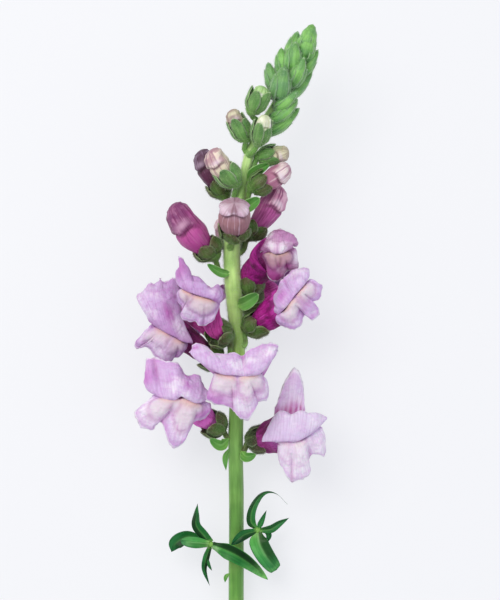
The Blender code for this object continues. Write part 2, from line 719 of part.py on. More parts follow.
def stalk_solid(start, joint):
    """(points, faces) of a shoot's stalk, with the round swelling at its leaves' joint."""
    start, joint = Vector(start), Vector(joint)
    right, up, ahead = steady_axes(joint - start)
    rings = []
    for place, radius in ((start, SHOOT_RADIUS), (start.lerp(joint, 0.7), SHOOT_RADIUS * 0.8)):
        rings.append(ring(place, right, up, radius, radius, turn(JOINT_SIDES)))
    for angle in (-40, 0, 45, 80):
        radius = JOINT_RADIUS * math.cos(math.radians(angle))
        place = joint + ahead * JOINT_RADIUS * math.sin(math.radians(angle))
        rings.append(ring(place, right, up, radius, radius, turn(JOINT_SIDES)))
    return closed_loft(rings)


def plump_solid(centre_at, heading_at_share, width):
    """(points, faces) of a plump solid round a curve, narrow at its foot and pointed at its tip."""
    rings = []
    for t, size in PLUMP_SIZES:
        right, up, _ = steady_axes(heading_at_share(t))
        half = width / 2 * size
        rings.append(ring(centre_at(t), right, up, half, half * PLUMP_DEPTH, turn(PLUMP_SIDES)))
    return closed_loft(rings)


def add_tip_bud(plant, bud):
    """A young bud, leaving the stem squarely and bending up to its tip."""
    foot, outward = seat(bud.node)
    tip = Vector(bud.tip)
    bend = foot + outward * bud.width * 0.62

    def centre(t):
        return bezier(foot, bend, bend.lerp(tip, 0.4), tip, t)

    def heading(t):
        return centre(min(t + 0.02, 1)) - centre(max(t - 0.02, 0))

    solid = plump_solid(centre, heading, bud.width)
    plant.add(bud.name, solid, plant.material("leaf", GREENS))


def add_tip_cone(plant):
    """The cone of closed scales at the very tip of the stem."""
    base, tip = (Vector(end) for end in TIP_CONE)
    solid = plump_solid(lambda t: base.lerp(tip, t), lambda t: tip - base, TIP_CONE_WIDTH)
    plant.add("tip_cone", solid, plant.material("leaf", GREENS))


def main():
    for existing in list(bpy.data.objects):
        bpy.data.objects.remove(existing)
    plant = Plant()
    add_stem(plant)
    for flower in FLOWERS:
        add_flower(plant, flower)
    for bud in BUDS:
        add_bud(plant, bud)
    for leaf in SHOOT_LEAVES:
        plant.add(leaf.name, leaf_solid(leaf), plant.material("leaf", GREENS))
    for bud in TIP_BUDS:
        add_tip_bud(plant, bud)
    add_tip_cone(plant)
    plant.lay_down()


main()
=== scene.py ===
"""Dresses a cut snapdragon spike that lies on its back.

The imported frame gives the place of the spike. Everything here is modelled in the plant's own
frame, in millimetres: X to the right, Y along the stem from its cut end to its tip, and Z from
the back of the spike to its front. Lay turns that frame into the row frame, in metres.
"""

import logging
import math
from collections.abc import Callable, Sequence
from dataclasses import dataclass, replace
from enum import Enum

import bpy
from mathutils import Matrix, Vector, noise


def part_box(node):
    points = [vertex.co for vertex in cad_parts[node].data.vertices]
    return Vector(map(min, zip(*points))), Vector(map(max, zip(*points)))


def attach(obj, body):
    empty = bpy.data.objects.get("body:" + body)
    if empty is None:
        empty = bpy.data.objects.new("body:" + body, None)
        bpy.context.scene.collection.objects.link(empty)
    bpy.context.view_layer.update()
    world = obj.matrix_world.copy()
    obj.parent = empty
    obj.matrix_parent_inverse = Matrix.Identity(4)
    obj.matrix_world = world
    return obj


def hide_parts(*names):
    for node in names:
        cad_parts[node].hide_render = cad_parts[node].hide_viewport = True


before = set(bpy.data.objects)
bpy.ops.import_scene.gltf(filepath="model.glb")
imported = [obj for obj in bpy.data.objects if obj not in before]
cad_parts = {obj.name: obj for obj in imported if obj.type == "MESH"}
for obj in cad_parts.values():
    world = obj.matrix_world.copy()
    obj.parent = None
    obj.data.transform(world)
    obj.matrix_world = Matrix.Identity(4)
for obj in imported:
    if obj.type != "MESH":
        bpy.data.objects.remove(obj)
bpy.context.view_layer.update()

LOG = logging.getLogger("snapdragon")
MM = 0.001
LAY_PITCH = 8.1  # degrees that the stem rises from its cut end
LAY_ROLL = -0.1  # degrees that the spike leans to its right

Point = tuple[float, float, float]
Node = tuple[float, float]  # (height on the stem in millimetres, angle round it in degrees)
Stops = Sequence[tuple[float, float]]
Patches = Sequence[tuple[float, float, float]]
Colour = tuple[float, float, float, float]
Piece = bpy.types.Object
Material = bpy.types.Material
Socket = bpy.types.NodeSocket
CHORD = 0.02  # share of a curve on each side of a place that its direction is read from


# --- Curves and frames ---


def spline(points: Sequence[Point], t: float) -> Vector:
    """A smooth curve through the points.

    Args:
        points: What the curve passes through.
        t: From 0 at its first point to 1 at its last.

    Returns:
        The point at share t along it.
    """
    spans = len(points) - 1
    place = min(max(t, 0.0), 1.0) * spans
    i = min(int(place), spans - 1)
    u = place - i
    p1, p2 = Vector(points[i]), Vector(points[i + 1])
    p0 = Vector(points[i - 1]) if i else p1 * 2 - p2
    p3 = Vector(points[i + 2]) if i + 2 <= spans else p2 * 2 - p1
    return 0.5 * (
        p1 * 2
        + (p2 - p0) * u
        + (p0 * 2 - p1 * 5 + p2 * 4 - p3) * u * u
        + (p1 * 3 - p0 - p2 * 3 + p3) * u**3
    )


def chord_at(curve: Callable[[float], Vector], t: float) -> Vector:
    """A short chord of a curve about share t, which gives its direction there."""
    return curve(min(t + CHORD, 1)) - curve(max(t - CHORD, 0))


def bezier(p0: Vector, p1: Vector, p2: Vector, p3: Vector, t: float) -> Vector:
    """The point at share t along a cubic curve."""
    s = 1 - t
    return p0 * s**3 + p1 * 3 * s * s * t + p2 * 3 * s * t * t + p3 * t**3


def between(ends: tuple[float, float], share: float) -> float:
    """The number at a share of the way from one end to the other."""
    return ends[0] + (ends[1] - ends[0]) * share


def smooth(share: float) -> float:
    """A share from 0 to 1, eased at both ends."""
    share = min(max(share, 0.0), 1.0)
    return share * share * (3 - 2 * share)


def bell(distance: float, spread: float) -> float:
    """1 at no distance, falling to 0 over a few spreads."""
    return math.exp(-((distance / spread) ** 2))


def profile(stops: Stops, place: float) -> float:
    """Reads (place, value) stops smoothly.

    Args:
        stops: The stops, in order.
        place: Where it is read.

    Returns:
        The value at the place.
    """
    for (x0, y0), (x1, y1) in zip(stops, stops[1:]):
        if place <= x1:
            return y0 + (y1 - y0) * smooth((place - x0) / (x1 - x0))
    return stops[-1][1]


def axes(forward: Sequence[float], up: Sequence[float]) -> tuple[Vector, Vector, Vector]:
    """A frame that looks along forward.

    Args:
        forward: Where the frame looks.
        up: Roughly its upper side.

    Returns:
        Unit vectors (right, up, forward).
    """
    ahead = Vector(forward).normalized()
    right = Vector(up).cross(ahead).normalized()
    return right, ahead.cross(right), ahead


def steady_axes(forward: Sequence[float]) -> tuple[Vector, Vector, Vector]:
    """Axes along forward, with up taken from the front of the spike or, failing that, its tip."""
    ahead = Vector(forward).normalized()
    return axes(ahead, (0, 0, 1) if abs(ahead.z) < 0.8 else (0, 1, 0))


def around(right: Vector, up: Vector, turned: float) -> Vector:
    """A way out from a middle line, turned by an angle in radians from right towards up."""
    return right * math.cos(turned) + up * math.sin(turned)


def wobble(place: Vector, size: float, seed: float = 0.0) -> float:
    """A steady random value from -1 to 1 that changes over about size millimetres."""
    return noise.noise(Vector(place) / size + Vector((seed, 2.3 * seed, 0.7)))


# --- The stem's line, which everything grows from ---

STEM_MIDLINE: tuple[Point, ...] = (
    (0.1, 0, 0), (0, 24, 0), (0.1, 66, 0), (-0.2, 92, 0), (0.8, 126, 0), (-0.8, 150, 0),
    (-1.8, 166, 0), (-1.2, 180, 0), (2, 194, 0), (5.5, 211, 0), (10.4, 222, 0),
    (17, 233, 0), (22.6, 243, 0), (26.5, 249, 0),
)
STEM_RADII: Stops = (
    (0, 3.2), (100, 3.1), (135, 3.0), (160, 3.5), (175, 3.5), (190, 2.3), (205, 2.0),
    (225, 1.7), (249, 1.3),
)
SEAT_DEPTH = 0.6  # how far an organ's foot is sunk below the stem's surface


def stem_at(height: float) -> tuple[Vector, float]:
    """The stem at a height above its cut end.

    Args:
        height: Millimetres along Y.

    Returns:
        Its (centre, radius) there.
    """
    low, high = 0.0, 1.0
    for _ in range(24):
        middle = (low + high) / 2
        if spline(STEM_MIDLINE, middle).y < height:
            low = middle
        else:
            high = middle
    return spline(STEM_MIDLINE, low), profile(STEM_RADII, height)


def seat(node: Node) -> tuple[Vector, Vector]:
    """Where an organ grows from the stem.

    Args:
        node: The organ's height on the stem, and its angle round it: 0 degrees is the right
            side, 90 the front, 180 the left side and 270 the back.

    Returns:
        Its (foot, outward direction).
    """
    height, angle = node[0], math.radians(node[1])
    centre, radius = stem_at(height)
    front = Vector((0, 0, 1))
    side = (stem_at(height + 1)[0] - centre).cross(front).normalized()
    outward = around(side, front, angle)
    return centre + outward * (radius - SEAT_DEPTH), outward


@dataclass(frozen=True)
class Lay:
    """How the plant's own frame, in millimetres, lies in the row frame, in metres."""

    matrix: Matrix

    @classmethod
    def on_frame(cls) -> "Lay":
        """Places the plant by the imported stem: its cut end, and the right side of its tip.

        Returns:
            How the plant lies.
        """
        turned = Matrix.Rotation(math.radians(LAY_ROLL), 4, "Y") @ Matrix.Rotation(
            math.radians(LAY_PITCH), 4, "X"
        )
        low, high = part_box("stem")
        cut = STEM_RADII[0][1]
        back, front = (turned @ Vector((STEM_MIDLINE[0][0], 0, side * cut)) for side in (-1, 1))
        end = Vector(STEM_MIDLINE[-1])
        ahead = chord_at(lambda t: spline(STEM_MIDLINE, t), 1).normalized()
        right = ahead.cross(Vector((0, 0, 1)))
        tip = turned @ (end + right * STEM_RADII[-1][1])
        shift = Vector((high.x - tip.x * MM, low.y - front.y * MM, low.z - back.z * MM))
        return cls(Matrix.Translation(shift) @ turned @ Matrix.Scale(MM, 4))

    def __call__(self, place: Vector) -> Vector:
        """A place of the plant, in the row frame."""
        return self.matrix @ place


# --- Meshes ---


class Value(Enum):
    """What a surface tells its finish about each of its points, from 0 to 1."""

    REACH = "reach"  # from the organ's foot to its tip
    EDGE = "edge"  # 1 at a free margin
    RIB = "rib"  # 1 on a midrib
    # Painted shade: 1 in a fold or a mouth line, which is darkened as if in shade.
    CREASE = "crease_shade"  # 1 in a fold or a mouth line
    # On a leaf, 1 marks the half that is darkened with painted shade.
    FACE = "face"  # 1 on a palate, on the upper lip of a bud, or on the dark half of a leaf
    # Stains and painted shade: 1 where a petal is darkened, by a real stain, and along some folds by
    # painted shade.
    STAIN_AND_SHADE = "stain"  # 1 where a petal is stained
    # Painted highlight: 1 where a petal or bud is painted nearly white, as if lit.
    PAINTED_HIGHLIGHT = "gleam"  # 1 where a petal is nearly white


def put(name: str, data: bpy.types.ID, turn: Matrix | None = None) -> Piece:
    """Adds an object to the scene.

    Args:
        name: Its name.
        data: Its mesh, light or camera.
        turn: Where it stands and how it is turned, unless it lies at the origin.

    Returns:
        The object.
    """
    made = bpy.data.objects.new(name, data)
    if turn:
        made.matrix_world = turn
    bpy.context.scene.collection.objects.link(made)
    return made


class Surface:
    """The mesh of one piece while it is made, in the plant's frame, with its surface values."""

    def __init__(self) -> None:
        """Starts with nothing."""
        self.points: list[Vector] = []
        self.grain: list[Sequence[float]] = []
        self.values: list[dict[Value, float]] = []
        self.faces: list[Sequence[int]] = []

    def point(self, place: Vector, grain: Sequence[float], values: dict[Value, float]) -> int:
        """Adds a point.

        Args:
            place: Where it is.
            grain: Its place across, along and through the organ, which streaks and veins follow.
            values: What the finish reads there.

        Returns:
            The point's number.
        """
        self.points.append(place)
        self.grain.append(grain)
        self.values.append(values)
        return len(self.points) - 1

    def sheet(self, rows: Sequence[Sequence[int]], closed: bool = False) -> None:
        """Spans rows of points with faces, and joins each row's ends if they are closed.

        Args:
            rows: Numbers of points, row by row, with as many in each.
            closed: Whether the rows are rings.
        """
        for low, high in zip(rows, rows[1:]):
            count = len(low)
            for i in range(count if closed else count - 1):
                j = (i + 1) % count
                self.faces.append((low[i], low[j], high[j], high[i]))

    def cap(self, ring: Sequence[int], turned: bool = False) -> None:
        """Closes a ring with a fan of faces.

        Args:
            ring: The numbers of its points.
            turned: Whether its face looks the other way.
        """
        order = list(ring)[::-1] if turned else list(ring)
        centre = sum((self.points[i] for i in order), Vector()) / len(order)
        middle = self.point(centre, self.grain[order[0]], self.values[order[0]])
        self.faces += [(a, b, middle) for a, b in zip(order, order[1:] + order[:1])]

    def loft(self, rings: Sequence[Sequence[int]]) -> None:
        """Adds a solid over rings of points, closed at both ends.

        Args:
            rings: Numbers of points, ring by ring.
        """
        self.sheet(rings, closed=True)
        self.cap(rings[0], turned=True)
        self.cap(rings[-1])

    def make(self, name: str, lay: Lay, finish: Material) -> Piece:
        """Makes the finished piece, with its place in its mesh.

        Args:
            name: The piece's name.
            lay: How the plant lies.
            finish: The piece's material.

        Returns:
            The piece.
        """
        mesh = bpy.data.meshes.new(name)
        mesh.from_pydata([lay(p) for p in self.points], [], self.faces)
        for value in Value:
            layer = mesh.attributes.new(value.value, "FLOAT", "POINT")
            layer.data.foreach_set("value", [each.get(value, 0.0) for each in self.values])
        layer = mesh.attributes.new("grain", "FLOAT_VECTOR", "POINT")
        layer.data.foreach_set("vector", [c for each in self.grain for c in each])
        mesh.materials.append(finish)
        mesh.shade_smooth()
        return put(name, mesh)


def dress(piece: Piece, slot: str, *nodes: str) -> Piece:
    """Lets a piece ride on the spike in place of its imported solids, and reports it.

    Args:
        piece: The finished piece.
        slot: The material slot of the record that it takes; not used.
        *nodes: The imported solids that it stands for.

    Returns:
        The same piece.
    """
    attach(piece, "root")
    if nodes:
        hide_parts(*nodes)
    LOG.info("%s: %d faces", piece.name, len(piece.data.polygons))
    return piece


# --- Node trees ---


def tone(code: str) -> Colour:
    """Reads a hex code such as "c89bd0".

    Args:
        code: Its six digits.

    Returns:
        The linear colour.
    """
    shares = [int(code[i : i + 2], 16) / 255 for i in (0, 2, 4)]
    linear = [s / 12.92 if s <= 0.04045 else ((s + 0.055) / 1.055) ** 2.4 for s in shares]
    return (*linear, 1.0)


class NodeTree:
    """A tree of nodes that is built link by link."""

    def __init__(self, tree: bpy.types.NodeTree) -> None:
        """Starts with the nodes that the tree has."""
        self.tree = tree

    def feed(self, socket: Socket, source: object) -> None:
        """Links an output to a socket, or sets the socket's value.

        Args:
            socket: An input of a node.
            source: What it gets.
        """
        if isinstance(source, Socket):
            self.tree.links.new(source, socket)
        else:
            socket.default_value = source

    def node(
        self, kind: str, inputs: dict[str | int, object] | None = None, **settings: object
    ) -> bpy.types.Node:
        """Adds a node.

        Args:
            kind: Its type.
            inputs: What its inputs are linked or set to.
            **settings: Its own settings.

        Returns:
            The node.
        """
        made = self.tree.nodes.new(kind)
        for name, value in settings.items():
            setattr(made, name, value)
        for name, source in (inputs or {}).items():
            self.feed(made.inputs[name], source)
        return made

    def out(
        self, kind: str, inputs: dict[str | int, object] | None = None, **settings: object
    ) -> Socket:
        """The first output of a new node."""
        return self.node(kind, inputs, **settings).outputs[0]

    def math(self, operation: str, first: object, second: object = 0.0) -> Socket:
        """A number worked out from one or two others."""
        return self.out("ShaderNodeMath", {0: first, 1: second}, operation=operation)

    def product(self, first: object, second: object) -> Socket:
        """Two numbers multiplied."""
        return self.math("MULTIPLY", first, second)


class Shading(NodeTree):
    """The node tree of one procedural material, built round its shader."""

    def __init__(self, name: str) -> None:
        """Starts with a plain Principled BSDF.

        Args:
            name: The material's name.
        """
        self.material = bpy.data.materials.new(name)
        self.material.use_nodes = True
        super().__init__(self.material.node_tree)
        self.shader = self.tree.nodes["Principled BSDF"]

    def set(self, **values: object) -> None:
        """Sets or links the shader's sockets; an underscore in a name stands for a space."""
        for name, value in values.items():
            self.feed(self.shader.inputs[name.replace("_", " ")], value)

    def value(self, value: Value) -> Socket:
        """What the surface says at each point."""
        return self.node("ShaderNodeAttribute", attribute_name=value.value).outputs["Fac"]

    def _scaled(self, where: Socket, scale: Point) -> Socket:
        """A place, scaled."""
        return self.out("ShaderNodeMapping", {"Vector": where, "Scale": scale})

    def streaks(self, across: float, along: float, detail: float = 3) -> Socket:
        """Noise from 0 to 1 in streaks along the organ, so many to a millimetre each way."""
        where = self.node("ShaderNodeAttribute", attribute_name="grain").outputs["Vector"]
        return self._noise(self._scaled(where, (across, along, across)), detail)

    def clouds(self, scale: float, detail: float = 3) -> Socket:
        """Even noise from 0 to 1, with scale clouds to a metre."""
        where = self.node("ShaderNodeTexCoord").outputs["Object"]
        return self._noise(self._scaled(where, (scale, scale, scale)), detail)

    def _noise(self, where: Socket, detail: float) -> Socket:
        """Smooth noise from 0 to 1."""
        return self.out("ShaderNodeTexNoise", {"Vector": where, "Scale": 1.0, "Detail": detail})

    def ramp(self, share: object, stops: Sequence[tuple[float, str]]) -> Socket:
        """Reads a colour from (place, hex code) stops.

        Args:
            share: Where it is read.
            stops: The stops, in order.

        Returns:
            The colour.
        """
        made = self.node("ShaderNodeValToRGB", {"Fac": share})
        elements = made.color_ramp.elements
        while len(elements) < len(stops):
            elements.new(0.5)
        for element, (where, _) in zip(elements, stops):
            element.position = where
        for element, (_, code) in zip(elements, stops):
            element.color = tone(code)
        return made.outputs["Color"]

    def spread(self, share: object, low: float, high: float, top: float = 1.0) -> Socket:
        """A share stretched so that low gives 0 and high gives top, eased between."""
        ends = {"Value": share, "From Min": low, "From Max": high, "To Max": top}
        return self.out("ShaderNodeMapRange", ends, interpolation_type="SMOOTHSTEP")

    def mix(self, share: object, first: object, second: object, blend: str = "MIX") -> Socket:
        """Mixes two colours; a colour may be a hex code.

        Args:
            share: How much of the second there is.
            first: One colour.
            second: The other.
            blend: How they blend.

        Returns:
            The mixture.
        """
        colours = [tone(each) if isinstance(each, str) else each for each in (first, second)]
        inputs = {"Factor": share, 6: colours[0], 7: colours[1]}
        made = self.node("ShaderNodeMix", inputs, data_type="RGBA", blend_type=blend)
        return made.outputs[2]

    def coat(self, body: object, *coats: tuple[object, object]) -> Socket:
        """Lays coats, each given by (share, colour), over a colour.

        Args:
            body: The colour below.
            *coats: How strong each coat is, and its colour.

        Returns:
            The colour that shows.
        """
        for share, colour in coats:
            body = self.mix(share, body, colour)
        return body

    def bump(self, height: object, strength: float, distance_mm: float) -> None:
        """Adds a relief on top of those already there.

        Args:
            height: Its height from 0 to 1.
            strength: How strongly it shades.
            distance_mm: What a height of 1 stands for.
        """
        relief = {"Height": height, "Strength": strength, "Distance": distance_mm * MM}
        normal = self.shader.inputs["Normal"]
        if normal.is_linked:
            relief["Normal"] = normal.links[0].from_socket
        self.feed(normal, self.out("ShaderNodeBump", relief))


class Growth(NodeTree):
    """A Geometry Nodes tree that is run once on a piece."""

    def __init__(self, name: str) -> None:
        """Starts with a geometry input.

        Args:
            name: The tree's name.
        """
        super().__init__(bpy.data.node_groups.new(name, "GeometryNodeTree"))
        self.tree.interface.new_socket("Geometry", in_out="INPUT", socket_type="NodeSocketGeometry")
        self.start = self.tree.nodes.new("NodeGroupInput")
        self._settings: dict[str, object] = {}

    def setting(self, name: str, value: object) -> Socket:
        """Gives the tree a named input, which the piece's modifier sets to the value.

        Args:
            name: The input's name.
            value: A number, a vector or a material.

        Returns:
            The input, as the tree reads it.
        """
        kinds = {int: "NodeSocketInt", float: "NodeSocketFloat"}
        kinds[Material] = "NodeSocketMaterial"
        kind = kinds.get(type(value), "NodeSocketVector")
        self.tree.interface.new_socket(name, in_out="INPUT", socket_type=kind)
        self._settings[name] = value
        return self.start.outputs[name]

    def vector(self, operation: str, first: object, second: object) -> Socket:
        """A vector worked out from two others, or from one and a number."""
        slot = "Scale" if operation == "SCALE" else 1
        return self.out("ShaderNodeVectorMath", {0: first, slot: second}, operation=operation)

    def named(self, name: str, kind: str = "FLOAT") -> Socket:
        """An attribute of the geometry."""
        made = self.node("GeometryNodeInputNamedAttribute", {"Name": name}, data_type=kind)
        return next(each for each in made.outputs if each.enabled)

    def store(self, geometry: Socket, name: str, value: Socket, kind: str = "FLOAT") -> Socket:
        """Stores an attribute at a geometry's points.

        Args:
            geometry: What it is stored on.
            name: The attribute's name.
            value: What is stored.
            kind: Its type.

        Returns:
            The geometry with the attribute.
        """
        stored = {"Geometry": geometry, "Name": name}
        made = self.node("GeometryNodeStoreNamedAttribute", stored, data_type=kind)
        self.feed(next(s for s in made.inputs if s.name == "Value" and s.enabled), value)
        return made.outputs["Geometry"]

    def grow(self, piece: Piece, geometry: object, finish: Material) -> Piece:
        """Runs the tree on a piece, and keeps the mesh that it makes.

        Args:
            piece: What the tree starts from.
            geometry: The tree's result.
            finish: The material of all of it.

        Returns:
            The piece.
        """
        real = self.out("GeometryNodeRealizeInstances", {"Geometry": geometry})
        worn = {"Geometry": real, "Material": self.setting("Finish", finish)}
        done = self.out("GeometryNodeSetMaterial", worn)
        smoothed = self.out("GeometryNodeSetShadeSmooth", {"Geometry": done})
        self.tree.interface.new_socket("Geometry", in_out="OUTPUT", socket_type="NodeSocketGeometry")
        self.node("NodeGroupOutput", {0: smoothed})
        modifier = piece.modifiers.new(self.tree.name, "NODES")
        modifier.node_group = self.tree
        for item in self.tree.interface.items_tree:
            if item.name in self._settings:
                modifier[item.identifier] = self._settings[item.name]
        bpy.context.view_layer.update()
        graph = bpy.context.evaluated_depsgraph_get()
        mesh = bpy.data.meshes.new_from_object(
            piece.evaluated_get(graph), preserve_all_data_layers=True, depsgraph=graph
        )
        piece.modifiers.remove(modifier)
        piece.data = mesh
        return piece


@dataclass(frozen=True)
class Down:
    """The short, pale hairs that stand on a green organ."""

    density: float = 2.5  # hairs to a square millimetre
    length: float = 0.75  # millimetres
    girth: float = 0.045  # a hair's radius at its foot, in millimetres
    lean: float = 0.7  # how far it may lean, in radians
    bare: float = 0.0  # share of the organ's length, from its foot, that has no hairs
    seed: int = 4

    def grow(self, piece: Piece, finish: Material) -> None:
        """Grows the hairs on a piece, as part of it.

        Args:
            piece: The green organ.
            finish: Its finish; the hairs take the colour of its margins.
        """
        growth = Growth(f"{piece.name}_down")
        skin = growth.start.outputs[0]
        density = growth.setting("Density", self.density / MM**2)
        length = growth.setting("Length", self.length * MM)
        girth = growth.setting("Girth", self.girth * MM)
        seed = growth.setting("Seed", self.seed)
        grown = growth.math("GREATER_THAN", growth.named(Value.REACH.value), self.bare - 0.001)
        spread = growth.product(density, grown)
        where = {"Mesh": skin, "Density": spread, "Seed": seed}
        spots = growth.node("GeometryNodeDistributePointsOnFaces", where).outputs
        shape = {"Vertices": 3, "Radius Top": 0.0, "Radius Bottom": girth, "Depth": length}
        cone = growth.out("GeometryNodeMeshCone", shape, fill_type="NONE")
        hair = growth.store(cone, Value.EDGE.value, growth.math("ADD", 1.0))
        leans = {0: (-self.lean, -self.lean, 0.0), 1: (self.lean, self.lean, 0.0)}
        leaning = growth.out("FunctionNodeRandomValue", leans, data_type="FLOAT_VECTOR")
        turns = {"Rotation": spots["Rotation"], "Rotate By": leaning}
        turned = growth.out("FunctionNodeRotateRotation", turns, rotation_space="LOCAL")
        hairs = growth.out(
            "GeometryNodeInstanceOnPoints",
            {"Points": spots["Points"], "Instance": hair, "Rotation": turned},
        )
        both = growth.node("GeometryNodeJoinGeometry")
        for part in (skin, hairs):
            growth.feed(both.inputs[0], part)
        growth.grow(piece, both.outputs[0], finish)


# --- Finishes ---


@dataclass(frozen=True)
class PetalFinish:
    """The thin, velvety skin of an open flower, from its tube's foot to its lobes' margins."""

    name: str
    foot: str
    tube: str
    bright: str
    throat: str
    shade: str
    lobe: str
    light: str
    margin: str
    palate: str
    glow: str
    # The colour of the painted shade in its folds and mouth line.
    crease_shade: str
    # The colour of its darker patches: real stains, and painted shade along folds.
    stain: str = "c47ac6"

    def material(self) -> Material:
        """Streaked magenta on the tube, and paler lobes with a cream palate.

        Returns:
            The material.
        """
        skin = Shading(self.name)
        reach, margin = skin.value(Value.REACH), skin.value(Value.EDGE)
        streaks, clouds = skin.streaks(1.1, 0.1, 4), skin.clouds(170, 2)
        folds = skin.clouds(210, 2)
        on_lobe, on_tube = skin.spread(reach, 0.62, 0.74), skin.spread(reach, 0.56, 0.42)
        body = skin.ramp(
            reach,
            (
                (0.0, self.foot), (0.1, self.tube), (0.3, self.tube), (0.43, self.bright),
                (0.5, self.throat), (0.66, self.shade), (0.8, self.lobe), (1.0, self.lobe),
            ),
        )
        patches = (
            (skin.spread(skin.clouds(130), 0.5, 0.68, 0.75), on_lobe, self.light),
            (skin.spread(clouds, 0.5, 0.72, 0.55), on_lobe, self.margin),
            (skin.spread(streaks, 0.52, 0.64, 0.6), on_tube, self.foot),
            (skin.spread(streaks, 0.44, 0.34, 0.6), on_tube, self.bright),
            (skin.spread(clouds, 0.5, 0.62, 0.6), on_tube, self.foot),
            # Painted highlights: pale colour laid where the lips would catch the light.
            (skin.value(Value.PAINTED_HIGHLIGHT), 0.9, self.light),
            # Darker patches: real stains, and painted shade along some folds.
            (skin.value(Value.STAIN_AND_SHADE), 0.9, self.stain),
        )
        coats = ((skin.product(share, where), colour) for share, where, colour in patches)
        body = skin.coat(body, *coats)
        dark = skin.mix(skin.spread(streaks, 0.35, 0.65), "dcc8dc", "ffffff")
        body = skin.mix(0.4, body, skin.mix(1.0, body, dark, "MULTIPLY"))
        # Painted shade: thin darker lines where the lobes crinkle, standing in for the shade in their
        # creases.
        fold = skin.product(skin.spread(folds, 0.45, 0.5), skin.spread(folds, 0.55, 0.5))
        margin = skin.product(margin, on_lobe)
        palate = skin.mix(skin.spread(reach, 0.75, 0.83), self.glow, self.palate)
        body = skin.coat(
            body,
            # The crinkle lines, painted as shade in the margin colour.
            (skin.product(skin.product(fold, 0.3), on_lobe), self.margin),
            (skin.spread(margin, 0.3, 0.8, 0.45), self.margin),
            (skin.spread(margin, 0.75, 0.9, 0.7), self.light),
            (skin.spread(skin.value(Value.FACE), 0.0, 0.8, 0.85), palate),
            # Painted shade in folds, mouth lines and the clefts between lobes.
            (skin.product(skin.value(Value.CREASE), 0.7), self.crease_shade),
        )
        skin.set(
            Base_Color=body, Roughness=0.62, Specular_IOR_Level=0.2, Sheen_Weight=0.05,
            Sheen_Roughness=0.4, Subsurface_Weight=0.25, Subsurface_Radius=(1.0, 0.5, 0.8),
            Subsurface_Scale=0.8 * MM,
        )
        skin.bump(streaks, 0.35, 0.25)
        skin.bump(folds, 0.8, 1.8)
        skin.bump(skin.clouds(560), 0.7, 0.6)
        return skin.material


@dataclass(frozen=True)
class BudFinish:
    """The skin of folded petals, with veins along it and a dusky upper lip."""

    name: str
    foot: str
    body: str
    tip: str
    lip: str
    vein: str
    # The colour of the painted shade along its folds.
    crease_shade: str
    # The colour of its painted highlight.
    gleam: str = "ead8e6"

    def material(self) -> Material:
        """Veined along the bud, paler or duskier on its face.

        Returns:
            The material.
        """
        skin = Shading(self.name)
        reach = skin.value(Value.REACH)
        veins, clouds = skin.streaks(1.3, 0.08), skin.clouds(260, 2)
        body = skin.ramp(
            reach, ((0.0, self.foot), (0.35, self.body), (0.72, self.body), (1.0, self.tip))
        )
        lip = skin.coat(
            skin.mix(skin.spread(clouds, 0.42, 0.62), self.tip, self.lip),
            (skin.spread(veins, 0.5, 0.6, 0.75), self.vein),
            (skin.spread(reach, 0.9, 1.0, 0.6), self.vein),
        )
        body = skin.coat(
            body,
            (skin.spread(veins, 0.5, 0.66, 0.65), self.vein),
            (skin.spread(veins, 0.42, 0.32, 0.5), self.lip),
            (skin.spread(skin.value(Value.FACE), 0.0, 1.0, 0.92), lip),
            # A painted highlight on the hood.
            (skin.product(skin.value(Value.PAINTED_HIGHLIGHT), 0.65), self.gleam),
            # Painted shade along the hood's edge, its cleft and its seam.
            (skin.product(skin.value(Value.CREASE), 0.85), self.crease_shade),
        )
        skin.set(
            Base_Color=body, Roughness=0.5, Specular_IOR_Level=0.3, Sheen_Weight=0.08,
            Sheen_Roughness=0.35, Subsurface_Weight=0.12, Subsurface_Radius=(1.0, 0.5, 0.7),
            Subsurface_Scale=0.8 * MM,
        )
        skin.bump(veins, 0.6, 0.35)
        skin.bump(skin.clouds(600), 0.6, 0.5)
        return skin.material


@dataclass(frozen=True)
class GreenFinish:
    """The skin of a stem, leaf, sepal or bract."""

    name: str
    stops: tuple[tuple[float, str], ...]  # colours from the organ's foot to its tip
    cloud: str
    margin: str
    rib: str
    roughness: float = 0.45
    streak: float = 1.2  # streaks to a millimetre across the surface
    cloud_size: float = 5.0  # millimetres
    sheen: float = 0.02
    grained: float = 0.5  # strength of its streaks

    def material(self) -> Material:
        """Streaked along the organ, paler on its rib and its margins.

        Returns:
            The material.
        """
        skin = Shading(self.name)
        streaks = skin.streaks(self.streak, 0.07)
        clouds = skin.clouds(1 / (self.cloud_size * MM))
        body = skin.ramp(skin.value(Value.REACH), self.stops)
        body = skin.mix(skin.spread(clouds, 0.42, 0.66, 0.65), body, self.cloud)
        dark = skin.mix(skin.spread(streaks, 0.3, 0.65), "a8b0a4", "ffffff")
        body = skin.mix(self.grained, body, skin.mix(1.0, body, dark, "MULTIPLY"))
        body = skin.coat(
            body,
            # Painted shade: the leaf's face value darkens one half of the blade.
            (skin.product(skin.value(Value.FACE), 0.9), skin.mix(1.0, body, "305c44", "MULTIPLY")),
            (skin.product(skin.value(Value.RIB), 0.6), self.rib),
            (skin.spread(skin.value(Value.EDGE), 0.35, 1.0, 0.8), self.margin),
        )
        skin.set(
            Base_Color=body, Roughness=self.roughness, Specular_IOR_Level=0.18,
            Sheen_Weight=self.sheen, Sheen_Roughness=0.45, Subsurface_Weight=0.08,
            Subsurface_Radius=(0.5, 1.0, 0.3), Subsurface_Scale=0.7 * MM,
        )
        skin.bump(streaks, self.grained, 0.2)
        skin.bump(skin.clouds(1800, 2), 0.2, 0.08)
        return skin.material


